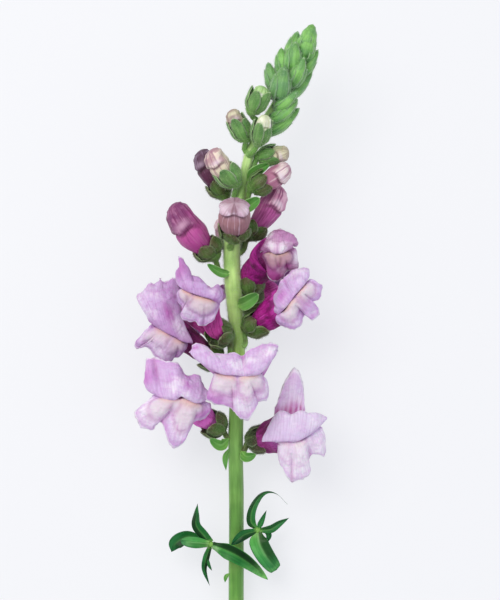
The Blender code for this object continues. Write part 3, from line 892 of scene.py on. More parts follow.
class Finish(Enum):
    """Every finish of the spike."""

    PALEST = PetalFinish(
        "palest_petals", "58163f", "98367f", "bc5cac", "ce90cc", "dccaea", "e6daf0", "f4eef9",
        "d4aadc", "eee4ea", "e8cec4", "b460a0", "b02c8c",
    )
    PALE = PetalFinish(
        "pale_petals", "b03c92", "f07cd8", "f8a8ec", "d498d0", "d6b0dc", "dac2e7", "f2eaf8",
        "c88cd0", "dfd2da", "e0bcb0", "b0609c",
    )
    ROSE = replace(
        PALE, name="rose_petals", foot="4c0638", tube="a81a86", bright="d050b8", shade="cc98ce",
        lobe="d8bce6",
    )
    MAUVE = PetalFinish(
        "mauve_petals", "681450", "c8489e", "e47cce", "c07cba", "c094c8", "ccacda", "e8daf0",
        "b474ba", "dccad0", "d8b09c", "8a3474", "b868b4",
    )
    DEEP_MAUVE = replace(
        MAUVE, name="deep_mauve_petals", foot="38082a", tube="74245c", bright="a84090",
        throat="b070a8",
    )
    DUSKY = PetalFinish(
        "dusky_petals", "4a0c34", "961c7a", "b43c9a", "b85c98", "ac689e", "c490be", "f6eef8",
        "843c6c", "c09aa4", "c0a094", "561c40", "a4388a",
    )
    MAGENTA_BUD = BudFinish(
        "magenta_bud", "8c2470", "b85098", "804070", "b4749c", "701c58", "4a1636", "dcb0cc"
    )
    ROSY_BUD = BudFinish("rosy_bud", "902c74", "b8589c", "ce8cae", "e0b4c8", "7c2c62", "5c3044")
    DARK_BUD = BudFinish(
        "dark_bud", "40142f", "5c2c4a", "5c3c54", "806880", "3c1429", "341824", "a48ca0"
    )
    DUSKY_BUD = BudFinish("dusky_bud", "702850", "b07490", "dcc4c8", "ecdedc", "98587c", "5c3444")
    FRONT_BUD = BudFinish("front_bud", "704054", "a0747c", "b894ac", "dcc4d8", "8c646e", "54303e")
    CREAM_BUD = BudFinish("cream_bud", "b0b888", "e0d4bc", "bc949c", "ecdccc", "a07086", "703c58")
    STRAW_BUD = BudFinish("straw_bud", "a8bc80", "d4d4ae", "a48c8c", "d8d2b4", "a4947c", "74485c")
    IVORY_BUD = BudFinish("ivory_bud", "a0c070", "e0e8c4", "ecf0d8", "f0f2dc", "c4d0a0", "8c9068")
    GREEN_BUD = BudFinish("green_bud", "7cac58", "a0cc84", "b8d898", "b4d898", "88b464", "6c8c50")
    STEM = GreenFinish(
        "stem_skin",
        (
            (0.0, "7ab454"), (0.17, "5c9440"), (0.27, "649644"), (0.35, "7cac5a"),
            (0.5, "a4ce68"), (0.58, "c6ec8c"), (0.86, "d2f4a2"), (1.0, "a6d680"),
        ),
        "80b258", "c4d8ac", "a4c480", 0.42, 0.6, 14.0, 0.5, 0.45,
    )
    SEPAL = GreenFinish(
        "sepal_skin", ((0.0, "98c86c"), (0.28, "5c843e"), (0.75, "48662f"), (1.0, "544a30")),
        "645444", "98b07c", "7c9c58", 0.3, 1.4, 5.0, 0.12,
    )
    # Painted shade: the sepals' colours darkened, for a calyx that lies in shadow.
    SHADED_SEPAL = replace(
        SEPAL, name="shaded_sepal_skin",
        stops=((0.0, "7ca454"), (0.28, "465c30"), (0.75, "343c28"), (1.0, "3c302c")),
    )
    YOUNG_SEPAL = GreenFinish(
        "young_sepal_skin", ((0.0, "88bc60"), (0.4, "6ca052"), (1.0, "54804a")),
        "82b064", "bcd4a4", "94c074", 0.36, 1.4, 3.0, 0.3,
    )
    LEAF = GreenFinish(
        "leaf_skin", ((0.0, "84b85c"), (0.1, "2c7432"), (0.5, "18642c"), (1.0, "145432")),
        "2c8040", "144c2c", "6cb05c", 0.32, 1.5, 4.0,
    )
    LIGHT_LEAF = GreenFinish(
        "light_leaf_skin", ((0.0, "a4d47c"), (0.2, "5cae50"), (0.6, "44a04e"), (1.0, "2c7444")),
        "6cb866", "347844", "98d088", 0.34, 1.5, 4.0,
    )
    FRONT_LEAF = GreenFinish(
        "front_leaf_skin", ((0.0, "c4e4b0"), (0.14, "489848"), (0.5, "17692b"), (1.0, "88cc74")),
        "247a34", "50a44c", "60ac50", 0.32, 1.5, 4.0,
    )
    BRACT = GreenFinish(
        "bract_skin", ((0.0, "98cc68"), (0.4, "70ac50"), (1.0, "4c8c40")),
        "68a454", "b0d494", "9ccc7c", 0.4, 1.4, 3.0,
    )
    # Its dark foot is painted shade where the scales overlap.
    SCALE = GreenFinish(
        "scale_skin", ((0.0, "285424"), (0.3, "5c9c48"), (0.7, "90cc6e"), (1.0, "5c9448")),
        "689c68", "b8dcac", "a4dc84", 0.38, 1.5, 3.0, 0.3,
    )
    # Its dark foot is painted shade where the scales overlap.
    DEEP_SCALE = GreenFinish(
        "deep_scale_skin", ((0.0, "28502c"), (0.3, "508a48"), (0.7, "84b870"), (1.0, "60944e")),
        "689a6c", "b0d4a8", "88c078", 0.38, 1.5, 3.0, 0.3,
    )


class Kit:
    """What every organ is made with: how the plant lies, and the materials made so far."""

    def __init__(self, lay: Lay) -> None:
        """Starts with no material."""
        self.lay = lay
        self._made: dict[Finish, Material] = {}

    def material(self, finish: Finish) -> Material:
        """Gives the material of a finish, which is made the first time it is worn.

        Args:
            finish: The finish.

        Returns:
            Its material.
        """
        if finish not in self._made:
            self._made[finish] = finish.value.material()
        return self._made[finish]

    def piece(self, surface: Surface, name: str, finish: Finish) -> Piece:
        """A surface made a piece of the plant, in its finish."""
        return surface.make(name, self.lay, self.material(finish))


# --- Open flowers ---


TUBE_RADII: Stops = ((0, 1.2), (0.08, 3.0), (0.35, 5.0), (0.75, 6.2))
TUBE_ROWS = 16
LIP_ROWS = 34
LIP_FINENESS = 72
LIP_GRAIN = (40, 30)  # millimetres that the streaks take a lip to be across, and along
PALATE_ALONG = 0.6  # place of the palate's humps along the lower lip
PALATE_LONG = 0.23  # half their length, as a share of the lip's
PALATE_HEIGHT = 1.7
PETAL_THICKNESS = 0.28
CRUMPLE = 0.45  # how far the lobes crumple, in millimetres
FRAY = 0.7  # how far their margins fray, in millimetres
NOTCH = 1.2  # how far the same margins wander in and out over a longer way
CLEFT = 0.8  # how deep the partings between the lobes are, in millimetres
TUCK = 0.29  # place of the fold behind a brow, as a share of the lip's length beyond the brow
PLAIN_BROW = 0.4  # a lip has no such fold if its brow lies nearer to the rim than this
UPPER_SWELLS = (0.42, 1.0)  # (place where its lobes begin to bulge, share of the puff)
LOWER_SWELLS = (0.62, 0.6)


@dataclass(frozen=True)
class Lip:
    """One lip of a flower's petals, by the curves that it passes on its way out from the rim.

    Each curve runs from the lip's left end to its right end. The last is its free margin, and
    the one that its sheet turns over is the first.
    """

    curves: tuple[tuple[Point, ...], ...]
    humps: tuple[tuple[float, float], ...] = ()  # (place, half width) across it, of its palate
    partings: tuple[float, ...] = ()  # places across it where its lobes meet
    ruffle: float = 0.55  # height of the waves along its margin, in millimetres
    puff: float = 2.0  # how far its lobes bulge, in millimetres
    swell: float = 1.0  # how far its palate rises, as a share of the usual
    # Its darker patches are real stains, and along some folds painted shade.
    stains: Patches = ()  # (share, place along, spread) of its darker patches
    # Its painted highlights: patches painted nearly white, as if lit.
    gleams: Patches = ()  # the same, of those that are nearly white

    @classmethod
    def over(cls, *curves: tuple[Point, ...], **details: object) -> "Lip":
        """The lip that passes over the curves."""
        return cls(curves, **details)

    def columns(self, fineness: int) -> int:
        """How many columns it has, so that its margin's points are all kept."""
        span = len(self.curves[-1]) - 1
        return span * math.ceil(fineness / span)

    def at(self, rim: Vector, share: float, along: float) -> Vector:
        """A point of its sheet, at a share across it, and along it from the rim to its margin."""
        return spline([rim, *(spline(curve, share) for curve in self.curves)], along)

    @staticmethod
    def patch(patches: Patches, share: float, along: float) -> float:
        """How strongly a place is coloured by patches, from 0 to 1."""
        return max((bell(math.hypot(share - s, along - a), w) for s, a, w in patches), default=0.0)

    def parting(self, share: float, along: float) -> float:
        """How deep a place lies in a cleft between two lobes, from 0 to 1."""
        deepest = max((bell(share - p, 0.022) for p in self.partings), default=0.0)
        return deepest * smooth((along - 0.62) / 0.25)

    def bulge(self, share: float, begins: float, along: float) -> float:
        """The bulge of its lobes at a place.

        Args:
            share: The place across the lip.
            begins: Where along it the lobes begin to bulge.
            along: The place along it.

        Returns:
            How far they bulge, in millimetres.
        """
        ends = (0.0, *self.partings, 1.0)
        lobe = next(i for i in range(len(ends) - 1) if share <= ends[i + 1])
        across = (share - ends[lobe]) / (ends[lobe + 1] - ends[lobe])
        onward = min(max((along - begins) / (1 - begins), 0.0), 1.0)
        return self.puff * abs(math.sin(math.pi * across)) ** 0.7 * math.sin(math.pi * onward)

    def palate(self, share: float, along: float) -> tuple[float, float]:
        """The humps that close the mouth, at a place.

        Args:
            share: The place across the lip.
            along: The place along it.

        Returns:
            Their (rise, painted crease shade) there, each from 0 to 1.
        """
        rise, crease_shade = 0.0, 0.0
        for place, half in self.humps:
            far = math.hypot((share - place) / half, (along - PALATE_ALONG) / PALATE_LONG)
            rise = max(rise, max(0.0, 1 - far * far) ** 0.8)
            crease_shade = max(crease_shade, bell(far - 1.0, 0.14))
        return self.swell * rise, self.swell * 0.55 * crease_shade * smooth((along - 0.52) / 0.12)


@dataclass(frozen=True)
class Flower:
    """An open flower: where it grows, its tube, its mouth and its two lips."""

    name: str
    node: Node
    base: Point
    heading: Point
    mouth: Point
    facing: Point
    up: Point
    mouth_half: tuple[float, float]
    upper: Lip
    lower: Lip
    finish: Finish = Finish.PALE
    seed: float = 0.0
    girth: float = 1.0  # how full its tube is
    sepals: Finish = Finish.SEPAL

    def turned_back(self, scale: float, **others: object) -> "Flower":
        """Turns the flower to the back of the spike about its mouth, and scales it.

        Args:
            scale: Its size, as a share of this flower's.
            **others: The fields that differ, its mouth among them.

        Returns:
            The turned flower.
        """
        here, there = Vector(self.mouth), Vector(others["mouth"])
        turn = Matrix.Diagonal((-scale, scale, -scale))

        def moved(lip: Lip) -> Lip:
            """Turns and scales a lip with the flower.

            Args:
                lip: The lip.

            Returns:
                The lip at its new place.
            """
            curves = (
                tuple(tuple(there + turn @ (Vector(p) - here)) for p in curve)
                for curve in lip.curves
            )
            return replace(lip, curves=tuple(curves))

        half = tuple(each * scale for each in self.mouth_half)
        x, y, z = self.facing
        return replace(
            self, facing=(-x, y, -z), mouth_half=half, upper=moved(self.upper),
            lower=moved(self.lower), **others,
        )

    def _rim(self, angle: float) -> Vector:
        """The mouth's rim at an angle.

        Args:
            angle: Degrees from its right side.

        Returns:
            A point of the rim.
        """
        right, up, _ = axes(self.facing, self.up)
        across, tall = self.mouth_half
        return Vector(self.mouth) + around(right * across, up * tall, math.radians(angle))

    def _tube(self, surface: Surface, upper: int, lower: int) -> list[int]:
        """Adds the tube.

        Args:
            surface: The petals' surface.
            upper: How many columns the upper lip has.
            lower: How many the lower lip has.

        Returns:
            Its rim's points, round by the top and back below.
        """
        base, mouth = Vector(self.base), Vector(self.mouth)
        length = (mouth - base).length
        right0, up0, ahead0 = axes(self.heading, self.up)
        right1, up1, ahead1 = axes(self.facing, self.up)
        angles = [180 - 180 * i / upper for i in range(upper)]
        angles += [360 - 180 * i / lower for i in range(lower)]
        radii = [(t, radius * self.girth) for t, radius in TUBE_RADII]
        rows = []
        for row in range(TUBE_ROWS + 1):
            t = (row / TUBE_ROWS) ** 1.15
            right, up = right0.lerp(right1, t).normalized(), up0.lerp(up1, t).normalized()
            bend = (base + ahead0 * length * 0.45, mouth - ahead1 * length * 0.3)
            centre = bezier(base, *bend, mouth, t)
            across, tall = (profile((*radii, (1, half)), t) for half in self.mouth_half)
            ring = []
            for angle in angles:
                turned = math.radians(angle)
                ridges = 1 + 0.05 * math.cos(turned * 4 + self.seed) * math.sin(math.pi * t)
                place = centre + around(right * across, up * tall, turned) * ridges
                grain = (across * math.cos(turned), t * length, tall * math.sin(turned) * 2)
                ring.append(surface.point(place, grain, {Value.REACH: t / 2}))
            rows.append(ring)
        surface.sheet([ring[::-1] for ring in rows], closed=True)
        surface.cap(rows[0])
        return rows[-1]

    def _lip(self, surface: Surface, lip: Lip, rim_points: list[int]) -> None:
        """Adds one lip.

        Args:
            surface: The petals' surface.
            lip: The lip.
            rim_points: The mouth's rim from left to right, on this lip's side.
        """
        is_lower = lip is self.lower
        way = -1 if is_lower else 1
        begins, fullness = LOWER_SWELLS if is_lower else UPPER_SWELLS
        columns = len(rim_points) - 1
        brow = (len(lip.curves) - 2) / len(lip.curves)  # where the sheet dips, if it has a brow
        _, up, ahead = axes(self.facing, self.up)
        grid = [
            [
                lip.at(self._rim(180 - way * 180 * i / columns), i / columns, min(row / LIP_ROWS, 1))
                for i in range(columns + 1)
            ]
            for row in range(LIP_ROWS + 2)
        ]
        rows = [rim_points]
        for row in range(1, LIP_ROWS + 1):
            along = row / LIP_ROWS
            line = []
            for i in range(columns + 1):
                share = i / columns
                place = grid[row][i]
                beside = grid[row][min(i + 1, columns)] - grid[row][max(i - 1, 0)]
                onward = grid[row + 1][i] - grid[row - 1][i]
                front = beside.cross(onward).normalized() * way
                ends = min(share, 1 - share)
                edge = max(along**9, bell(ends, 0.03) * smooth((along - 0.4) / 0.3))
                parting = lip.parting(share, along)
                rise, crease_shade = lip.palate(share, along)
                tuck = bell(along - brow - TUCK, 0.03) if brow > PLAIN_BROW else 0.0
                lift = self._waves(lip, place, share, along) - 0.5 * edge - CLEFT * parting
                lift += lip.bulge(share, begins, along) * fullness
                frayed = FRAY * wobble(place, 1.3, self.seed + 5)
                frayed += NOTCH * wobble(place, 4.5, self.seed + 9)
                frayed *= along**8 * smooth(ends / 0.08)
                place = place + onward.normalized() * frayed + front * lift
                place += (ahead + up * 0.35) * PALATE_HEIGHT * rise
                values = {
                    Value.REACH: 0.5 + along / 2,
                    Value.EDGE: edge,
                    Value.FACE: rise,
                    # Painted shade along the palate's rim, the clefts between lobes and the fold behind
                    # a brow.
                    Value.CREASE: max(crease_shade, 0.5 * parting, tuck),
                    # Darker patches: real stains, and painted shade along some folds.
                    Value.STAIN_AND_SHADE: lip.patch(lip.stains, share, along),
                    # Patches painted nearly white: painted highlights.
                    Value.PAINTED_HIGHLIGHT: lip.patch(lip.gleams, share, along),
                }
                grain = ((share - 0.5) * LIP_GRAIN[0], along * LIP_GRAIN[1], 0)
                line.append(surface.point(place, grain, values))
            rows.append(line)
        surface.sheet(rows if is_lower else [line[::-1] for line in rows])

    def _waves(self, lip: Lip, place: Vector, share: float, along: float) -> float:
        """The ruffles and crumples of a lip at a place.

        Args:
            lip: The lip.
            place: The place, before it is lifted.
            share: Where that is across the lip.
            along: Where it is along the lip.

        Returns:
            How far they lift it, in millimetres.
        """
        wave = math.sin(share * 26 + self.seed) * along**6
        wave += 0.7 * wobble(place, 6.0, self.seed) * smooth((along - 0.3) / 0.4)
        outer = smooth((along - 0.45) / 0.3)
        return lip.ruffle * wave + CRUMPLE * wobble(place, 2.6, self.seed + 3) * outer

    def build(self, kit: Kit) -> None:
        """Makes the petals and the calyx that holds them.

        Args:
            kit: What it is made with.
        """
        surface = Surface()
        upper, lower = (lip.columns(LIP_FINENESS) for lip in (self.upper, self.lower))
        ring = self._tube(surface, upper, lower)
        self._lip(surface, self.upper, ring[: upper + 1])
        self._lip(surface, self.lower, [ring[0]] + ring[: upper - 1 : -1])
        corolla = kit.piece(surface, f"{self.name}_corolla", self.finish)
        shell = corolla.modifiers.new("shell", "SOLIDIFY")
        shell.thickness = PETAL_THICKNESS * MM
        shell.offset = -1
        dress(corolla, "open_petals", f"{self.name}_petals")
        calyx = Calyx(self.name, self.node, self.base, self.heading, finish=self.sepals)
        calyx.build(kit)


# --- Blades: leaves, bracts and sepals ---


RIB_DEPTH = 0.35  # how deep a midrib is sunk in a blade's front, as a share of its thickness
BACK_GRAIN = 3.0  # how far the grain of a blade's back lies from its front's, in millimetres


@dataclass(frozen=True)
class Blade:
    """A thin, lens-shaped blade, by its midline and the side that it faces."""

    midline: tuple[Sequence[float], ...]
    half_width: float
    facing: Sequence[float] = (0, 0, 1)
    fold: float = 0.25  # rise of the margins over the midrib, in half widths
    cup: float = 0.0  # as fold, but curved
    twist: float = 0.0  # how far its left margin falls and its right one rises, in half widths
    widest: float = 0.45
    foot: float = 0.2  # width of its foot, as a share of its greatest width
    point: float = 0.8  # 0 for a rounded tip, 1 for a pointed one
    thickness: float = 0.6
    wave: float = 0.0  # height of the ripples along its margins, in millimetres
    reach: tuple[float, float] = (0.0, 1.0)
    # Painted shade: how much its left half is darkened, as the half that folds away from the light.
    shaded: float = 0.0  # how much darker its left half is

    def _outline(self, t: float) -> float:
        """Its outline at a share of the way along it.

        Args:
            t: The share.

        Returns:
            Its width there, as a share of its greatest.
        """
        if t < self.widest:
            return self.foot + (1 - self.foot) * smooth(t / self.widest)
        beyond = (t - self.widest) / (1 - self.widest)
        return max(0.03, (1 - beyond * beyond) ** (0.5 + 0.7 * self.point))

    def add(self, surface: Surface, rows: int = 24, columns: int = 12) -> None:
        """Adds it to a surface as one solid.

        Args:
            surface: The surface of its piece.
            rows: How many steps it has along it.
            columns: How many it has across each of its faces.
        """
        length = sum(
            (Vector(b) - Vector(a)).length for a, b in zip(self.midline, self.midline[1:])
        )
        seed = self.midline[-1][0] * 1.3 + self.midline[-1][1] * 0.7
        rings = []
        for row in range(rows + 1):
            t = row / rows
            here = spline(self.midline, t)
            ahead = chord_at(lambda share: spline(self.midline, share), t).normalized()
            side = ahead.cross(Vector(self.facing)).normalized()
            face = side.cross(ahead)
            width = self.half_width * self._outline(t)
            ring = []
            for column in range(columns * 2):
                front = column <= columns
                across = 2 * column / columns - 1 if front else 3 - 2 * column / columns
                rise = self.fold * abs(across) + self.cup * across * across + self.twist * across
                ripple = self.wave * across * across * math.sin(t * 15 + across * 2 + seed)
                half = self.thickness / 2 * math.sqrt(max(0.0, 1 - across * across))
                rib = bell(across, 0.14)
                depth = (half if front else -half) - RIB_DEPTH * self.thickness * rib * front
                place = here + side * width * across + face * (rise * width + ripple + depth)
                values = {
                    Value.REACH: between(self.reach, t),
                    Value.EDGE: max(abs(across) ** 6, t**14) * smooth(t / 0.2),
                    Value.RIB: rib * (1 - t),
                    # Painted shade on the leaf's left half, fading towards its tip.
                    Value.FACE: self.shaded * smooth(0.5 - across * 8) * smooth(2.6 - 2.6 * t),
                }
                grain = (across * width + seed, t * length, 0.0 if front else BACK_GRAIN)
                ring.append(surface.point(place, grain, values))
            rings.append(ring)
        surface.loft(rings)


def add_shaft(
    surface: Surface, centre: Callable[[float], Vector], radii: Stops, reach: tuple[float, float],
    rows: int = 16, sides: int = 16,
) -> None:
    """Adds a round solid that follows a curve.

    Args:
        surface: The surface of its piece.
        centre: Its middle, at shares from 0 to 1.
        radii: Its radius at those shares.
        reach: What its finish reads at its two ends.
        rows: How many steps it has along it.
        sides: How many it has round it.
    """
    rings = []
    length = (centre(1) - centre(0)).length
    for row in range(rows + 1):
        t = row / rows
        right, up, _ = steady_axes(chord_at(centre, t))
        radius = profile(radii, t)
        ring = []
        for i in range(sides):
            turned = math.tau * i / sides
            grain = (radius * math.cos(turned), t * length, radius * math.sin(turned))
            place = centre(t) + around(right, up, turned) * radius
            ring.append(surface.point(place, grain, {Value.REACH: between(reach, t)}))
        rings.append(ring)
    surface.loft(rings)


# --- Calyxes and buds ---

SEPALS = 5
STALK: Stops = ((0, 1.7), (0.2, 1.15), (0.75, 1.15))  # radius of a flower's stalk below its cup
STALK_BEND = 0.4  # share of a stalk's span that each of its ends runs straight


@dataclass(frozen=True)
class Calyx:
    """A flower's stalk, and the five sepals that hold the foot of its petals."""

    name: str
    node: Node
    base: Point
    heading: Sequence[float]
    length: float = 7.8
    radius: float = 5.8
    lean: float = 1.0  # how far its sepals' tips lean out, in radii
    finish: Finish = Finish.SEPAL

    def build(self, kit: Kit) -> None:
        """Makes the calyx.

        Args:
            kit: What it is made with.
        """
        surface = Surface()
        foot, outward = seat(self.node)
        right, up, ahead = steady_axes(self.heading)
        floor = Vector(self.base) - ahead * 0.7
        span = (floor - foot).length

        def centre(t: float) -> Vector:
            """The stalk's middle, from its foot to the cup's floor."""
            bend = span * STALK_BEND
            return bezier(foot, foot + outward * bend, floor - ahead * bend, floor, t)

        swell = 0.72 * self.radius
        add_shaft(
            surface, centre, (*STALK, (0.93, swell * 0.75), (1, swell)), (0.0, 0.25), 20
        )
        seed = self.node[0] * 0.37
        for i in range(SEPALS):
            out = around(right, up, math.tau * i / SEPALS)
            uneven = wobble(Vector((i * 5.1, seed, 0)), 3.0)
            length = self.length * (1 + 0.22 * uneven)
            tip_lean = self.lean + 0.14 * uneven
            line = ((0.45, -0.5), (0.9, length * 0.25), (1.0, length * 0.65), (tip_lean, length))
            points = tuple(floor + out * self.radius * far + ahead * on for far, on in line)
            Blade(
                points, self.radius * 0.68, out, fold=0.1, cup=-0.5, twist=0.16, widest=0.5,
                foot=0.7, point=0.15, thickness=0.55, wave=0.15, reach=(0.2, 1.0),
            ).add(surface, 18, 12)
        made = kit.piece(surface, f"{self.name}_sepals", self.finish)
        Down().grow(made, kit.material(self.finish))
        dress(made, "calyx", f"{self.name}_calyx")


BUD_SWELL: Stops = (
    (0, 0.3), (0.1, 0.62), (0.6, 1.0), (0.86, 0.86), (0.95, 0.6), (0.99, 0.3), (1, 0.08)
)
BUD_CALYX_SHARE = 0.86  # radius of the petals where the calyx ends, as a share of the greatest
BUD_DENTS = ((0.07, 4, 11), (0.05, 9, 22))  # (depth, dents across it, dents along it)
BUD_ROWS = 32
BUD_SIDES = 40


@dataclass(frozen=True)
class Bud:
    """A closed bud: where it grows, the two ends of its petals, and its greatest radius."""

    name: str
    node: Node
    base: Point
    tip: Point
    radius: float
    finish: Finish = Finish.DUSKY_BUD
    sepals: Finish = Finish.SEPAL
    slot: str = "bud_petals"
    wrap: float = 6.8  # length of its sepals
    cup: float = 1.1  # how much wider than its petals its calyx is, in millimetres
    opening: float = 0.64  # place along it of its hood's edge, on its lower side
    belly: float = 0.0  # how much fuller it is between its calyx and its hood, as a share

    def _relief(self, angle: float, t: float) -> tuple[float, dict[Value, float]]:
        """The shape of the folded lips at a place.

        The upper lip is a hood that wraps the bud's end. Its edge shows on the lower side.

        Args:
            angle: Degrees from the middle of the upper lip, from 0 to 180.
            t: From the bud's foot to its tip.

        Returns:
            The share of the bud's radius there, and what its finish reads.
        """
        side = smooth((angle - 40) / 50)
        zigzag = 0.03 * math.cos(math.radians(angle * 4))
        edge = self.opening - 0.1 * (1 - smooth(angle / 180)) + zigzag
        over = smooth((t - edge) / 0.035)
        # Painted shade under the hood's edge, which also dents the surface a little.
        crease_shade = bell(t - edge + 0.012, 0.028) * side
        cleft = bell(angle, 8) * smooth((t - 0.66) / 0.2)
        seam = bell(angle - 174, 7) * over
        pleats = 0.015 * math.cos(math.radians(angle * 5)) * smooth((t - 0.2) / 0.4)
        size = 1 + 0.1 * side * over - 0.05 * side * (1 - over) * smooth((t - 0.35) / 0.2)
        size += pleats - 0.1 * crease_shade - 0.1 * cleft - 0.07 * seam
        values = {
            Value.REACH: t,
            Value.FACE: max(side * over, (1 - side) * smooth((t - 0.7) / 0.2)),
            Value.CREASE: max(crease_shade, 0.7 * cleft, 0.5 * seam),
            # A painted highlight on the hood, just beyond its edge.
            Value.PAINTED_HIGHLIGHT: bell(angle - 115, 30) * bell(t - self.opening - 0.07, 0.06),
        }
        return size, values

    def build(self, kit: Kit) -> None:
        """Makes the folded petals and their calyx.

        Args:
            kit: What it is made with.
        """
        surface = Surface()
        base, tip = Vector(self.base), Vector(self.tip)
        length = (tip - base).length
        upright = abs((tip - base).normalized().y) > 0.97
        right, dorsal, ahead = axes(tip - base, (0, 0, 1) if upright else (0, 1, 0))
        seed = self.node[0] * 0.61
        rings = []
        for row in range(BUD_ROWS + 1):
            t = 1 - (1 - row / BUD_ROWS) ** 1.3
            centre = base + ahead * length * t - dorsal * 0.05 * length * math.sin(math.pi * t)
            ring = []
            radius = self.radius * (profile(BUD_SWELL, t) + self.belly * bell(t - 0.36, 0.2))
            for i in range(BUD_SIDES):
                turned = 360 * i / BUD_SIDES
                angle = math.radians(turned)
                x, y = math.cos(angle), math.sin(angle)
                size, values = self._relief(abs((turned - 90 + 180) % 360 - 180), t)
                size *= 1 + 0.03 * math.cos(math.radians(turned * 6 + seed * 40)) * (1 - t)
                for depth, wide, long in BUD_DENTS:
                    dent = Vector((x * wide, t * long, seed + y * wide))
                    size *= 1 + depth * wobble(dent, 3.0)
                grain = (self.radius * x + seed, t * length, self.radius * y)
                place = centre + around(right, dorsal, angle) * (radius * size)
                ring.append(surface.point(place, grain, values))
            rings.append(ring)
        surface.loft(rings)
        petals = kit.piece(surface, f"{self.name}_folded", self.finish)
        dress(petals, self.slot, f"{self.name}_petals")
        girth = self.radius * BUD_CALYX_SHARE + self.cup
        calyx = Calyx(
            self.name, self.node, self.base, tip - base, self.wrap, girth, 0.94, self.sepals
        )
        calyx.build(kit)


# --- The stem, its leaves and its tip ---


JOINT_GAP = 1.1  # how far from the middle of its joint a leaf starts, in millimetres
TIP_BUD_CORE: Stops = (
    (0, 0.35), (0.15, 0.7), (0.5, 0.96), (0.78, 0.84), (0.93, 0.5), (1, 0.1)
)
WRAP_TURN = 144  # degrees from one sepal of a young bud to the next


@dataclass(frozen=True)
class Leaf:
    """A leaf of a side shoot: its piece and its blade."""

    name: str
    blade: Blade
    finish: Finish = Finish.LEAF
    lobes: tuple[Blade, ...] = ()  # small ones that part from it

    def build(self, kit: Kit) -> None:
        """Makes the leaf, a little way out from the middle of its joint.

        Args:
            kit: What it is made with.
        """
        surface = Surface()
        start, second = Vector(self.blade.midline[0]), Vector(self.blade.midline[1])
        points = (start + (second - start).normalized() * JOINT_GAP, *self.blade.midline[1:])
        replace(self.blade, midline=points).add(surface, 36, 16)
        for lobe in self.lobes:
            lobe.add(surface, 20, 10)
        made = kit.piece(surface, f"{self.name}_blade", self.finish)
        dress(made, "leaf", self.name)


@dataclass(frozen=True)
class TipBud:
    """A young bud wrapped in its sepals and its bract: where it grows, its tip and its width."""

    name: str
    node: Node
    tip: Point
    width: float
    finish: Finish = Finish.SCALE
    stands_for: str = ""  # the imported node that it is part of, if that isn't one of its own

    def build(self, kit: Kit) -> None:
        """Makes the bud, which leaves the stem squarely and bends up to its tip.

        Args:
            kit: What it is made with.
        """
        surface = Surface()
        foot, outward = seat(self.node)
        tip = Vector(self.tip)
        bend = foot + outward * (self.width * 0.5 + SEAT_DEPTH)

        def centre(t: float) -> Vector:
            """The bud's middle line."""
            return bezier(foot, bend, bend.lerp(tip, 0.4), tip, t)

        def turned_out(t: float, turned: float) -> Vector:
            """A direction square to the middle line."""
            right, up, _ = steady_axes(chord_at(centre, t))
            return around(right, up, turned)

        half = self.width / 2
        radii = [(t, r * half) for t, r in TIP_BUD_CORE]
        add_shaft(surface, centre, radii, (0.3, 0.9), 20, 18)
        seed = self.node[0] * 0.53 + self.node[1]
        for i in range(SEPALS):
            uneven = 24 * wobble(Vector((seed, i * 3.3, 0)), 3.0)
            turned = math.radians(96 + WRAP_TURN * i + uneven)
            end = 1.0 - 0.07 * i + 0.06 * wobble(Vector((i * 2.7, seed, 4)), 2.0)
            shares = [share * end for share in (0.08, 0.36, 0.7, 1.0)]
            points = tuple(
                centre(t) + turned_out(t, turned) * half * (profile(TIP_BUD_CORE, t) + 0.14)
                for t in shares
            )
            Blade(
                points, half * 0.95, turned_out(shares[2], turned), fold=0.12, cup=-0.6,
                twist=0.14, widest=0.55, foot=0.7, point=0.22, thickness=0.45, wave=0.12,
            ).add(surface, 18, 12)
        made = kit.piece(surface, f"{self.name}_wrapped", self.finish)
        Down().grow(made, kit.material(self.finish))
        dress(made, "tip_bracts", self.stands_for or self.name)


CONE_CORE: Stops = (
    (0, 0.4), (0.15, 0.7), (0.45, 0.82), (0.75, 0.66), (0.93, 0.36), (1, 0.05)
)


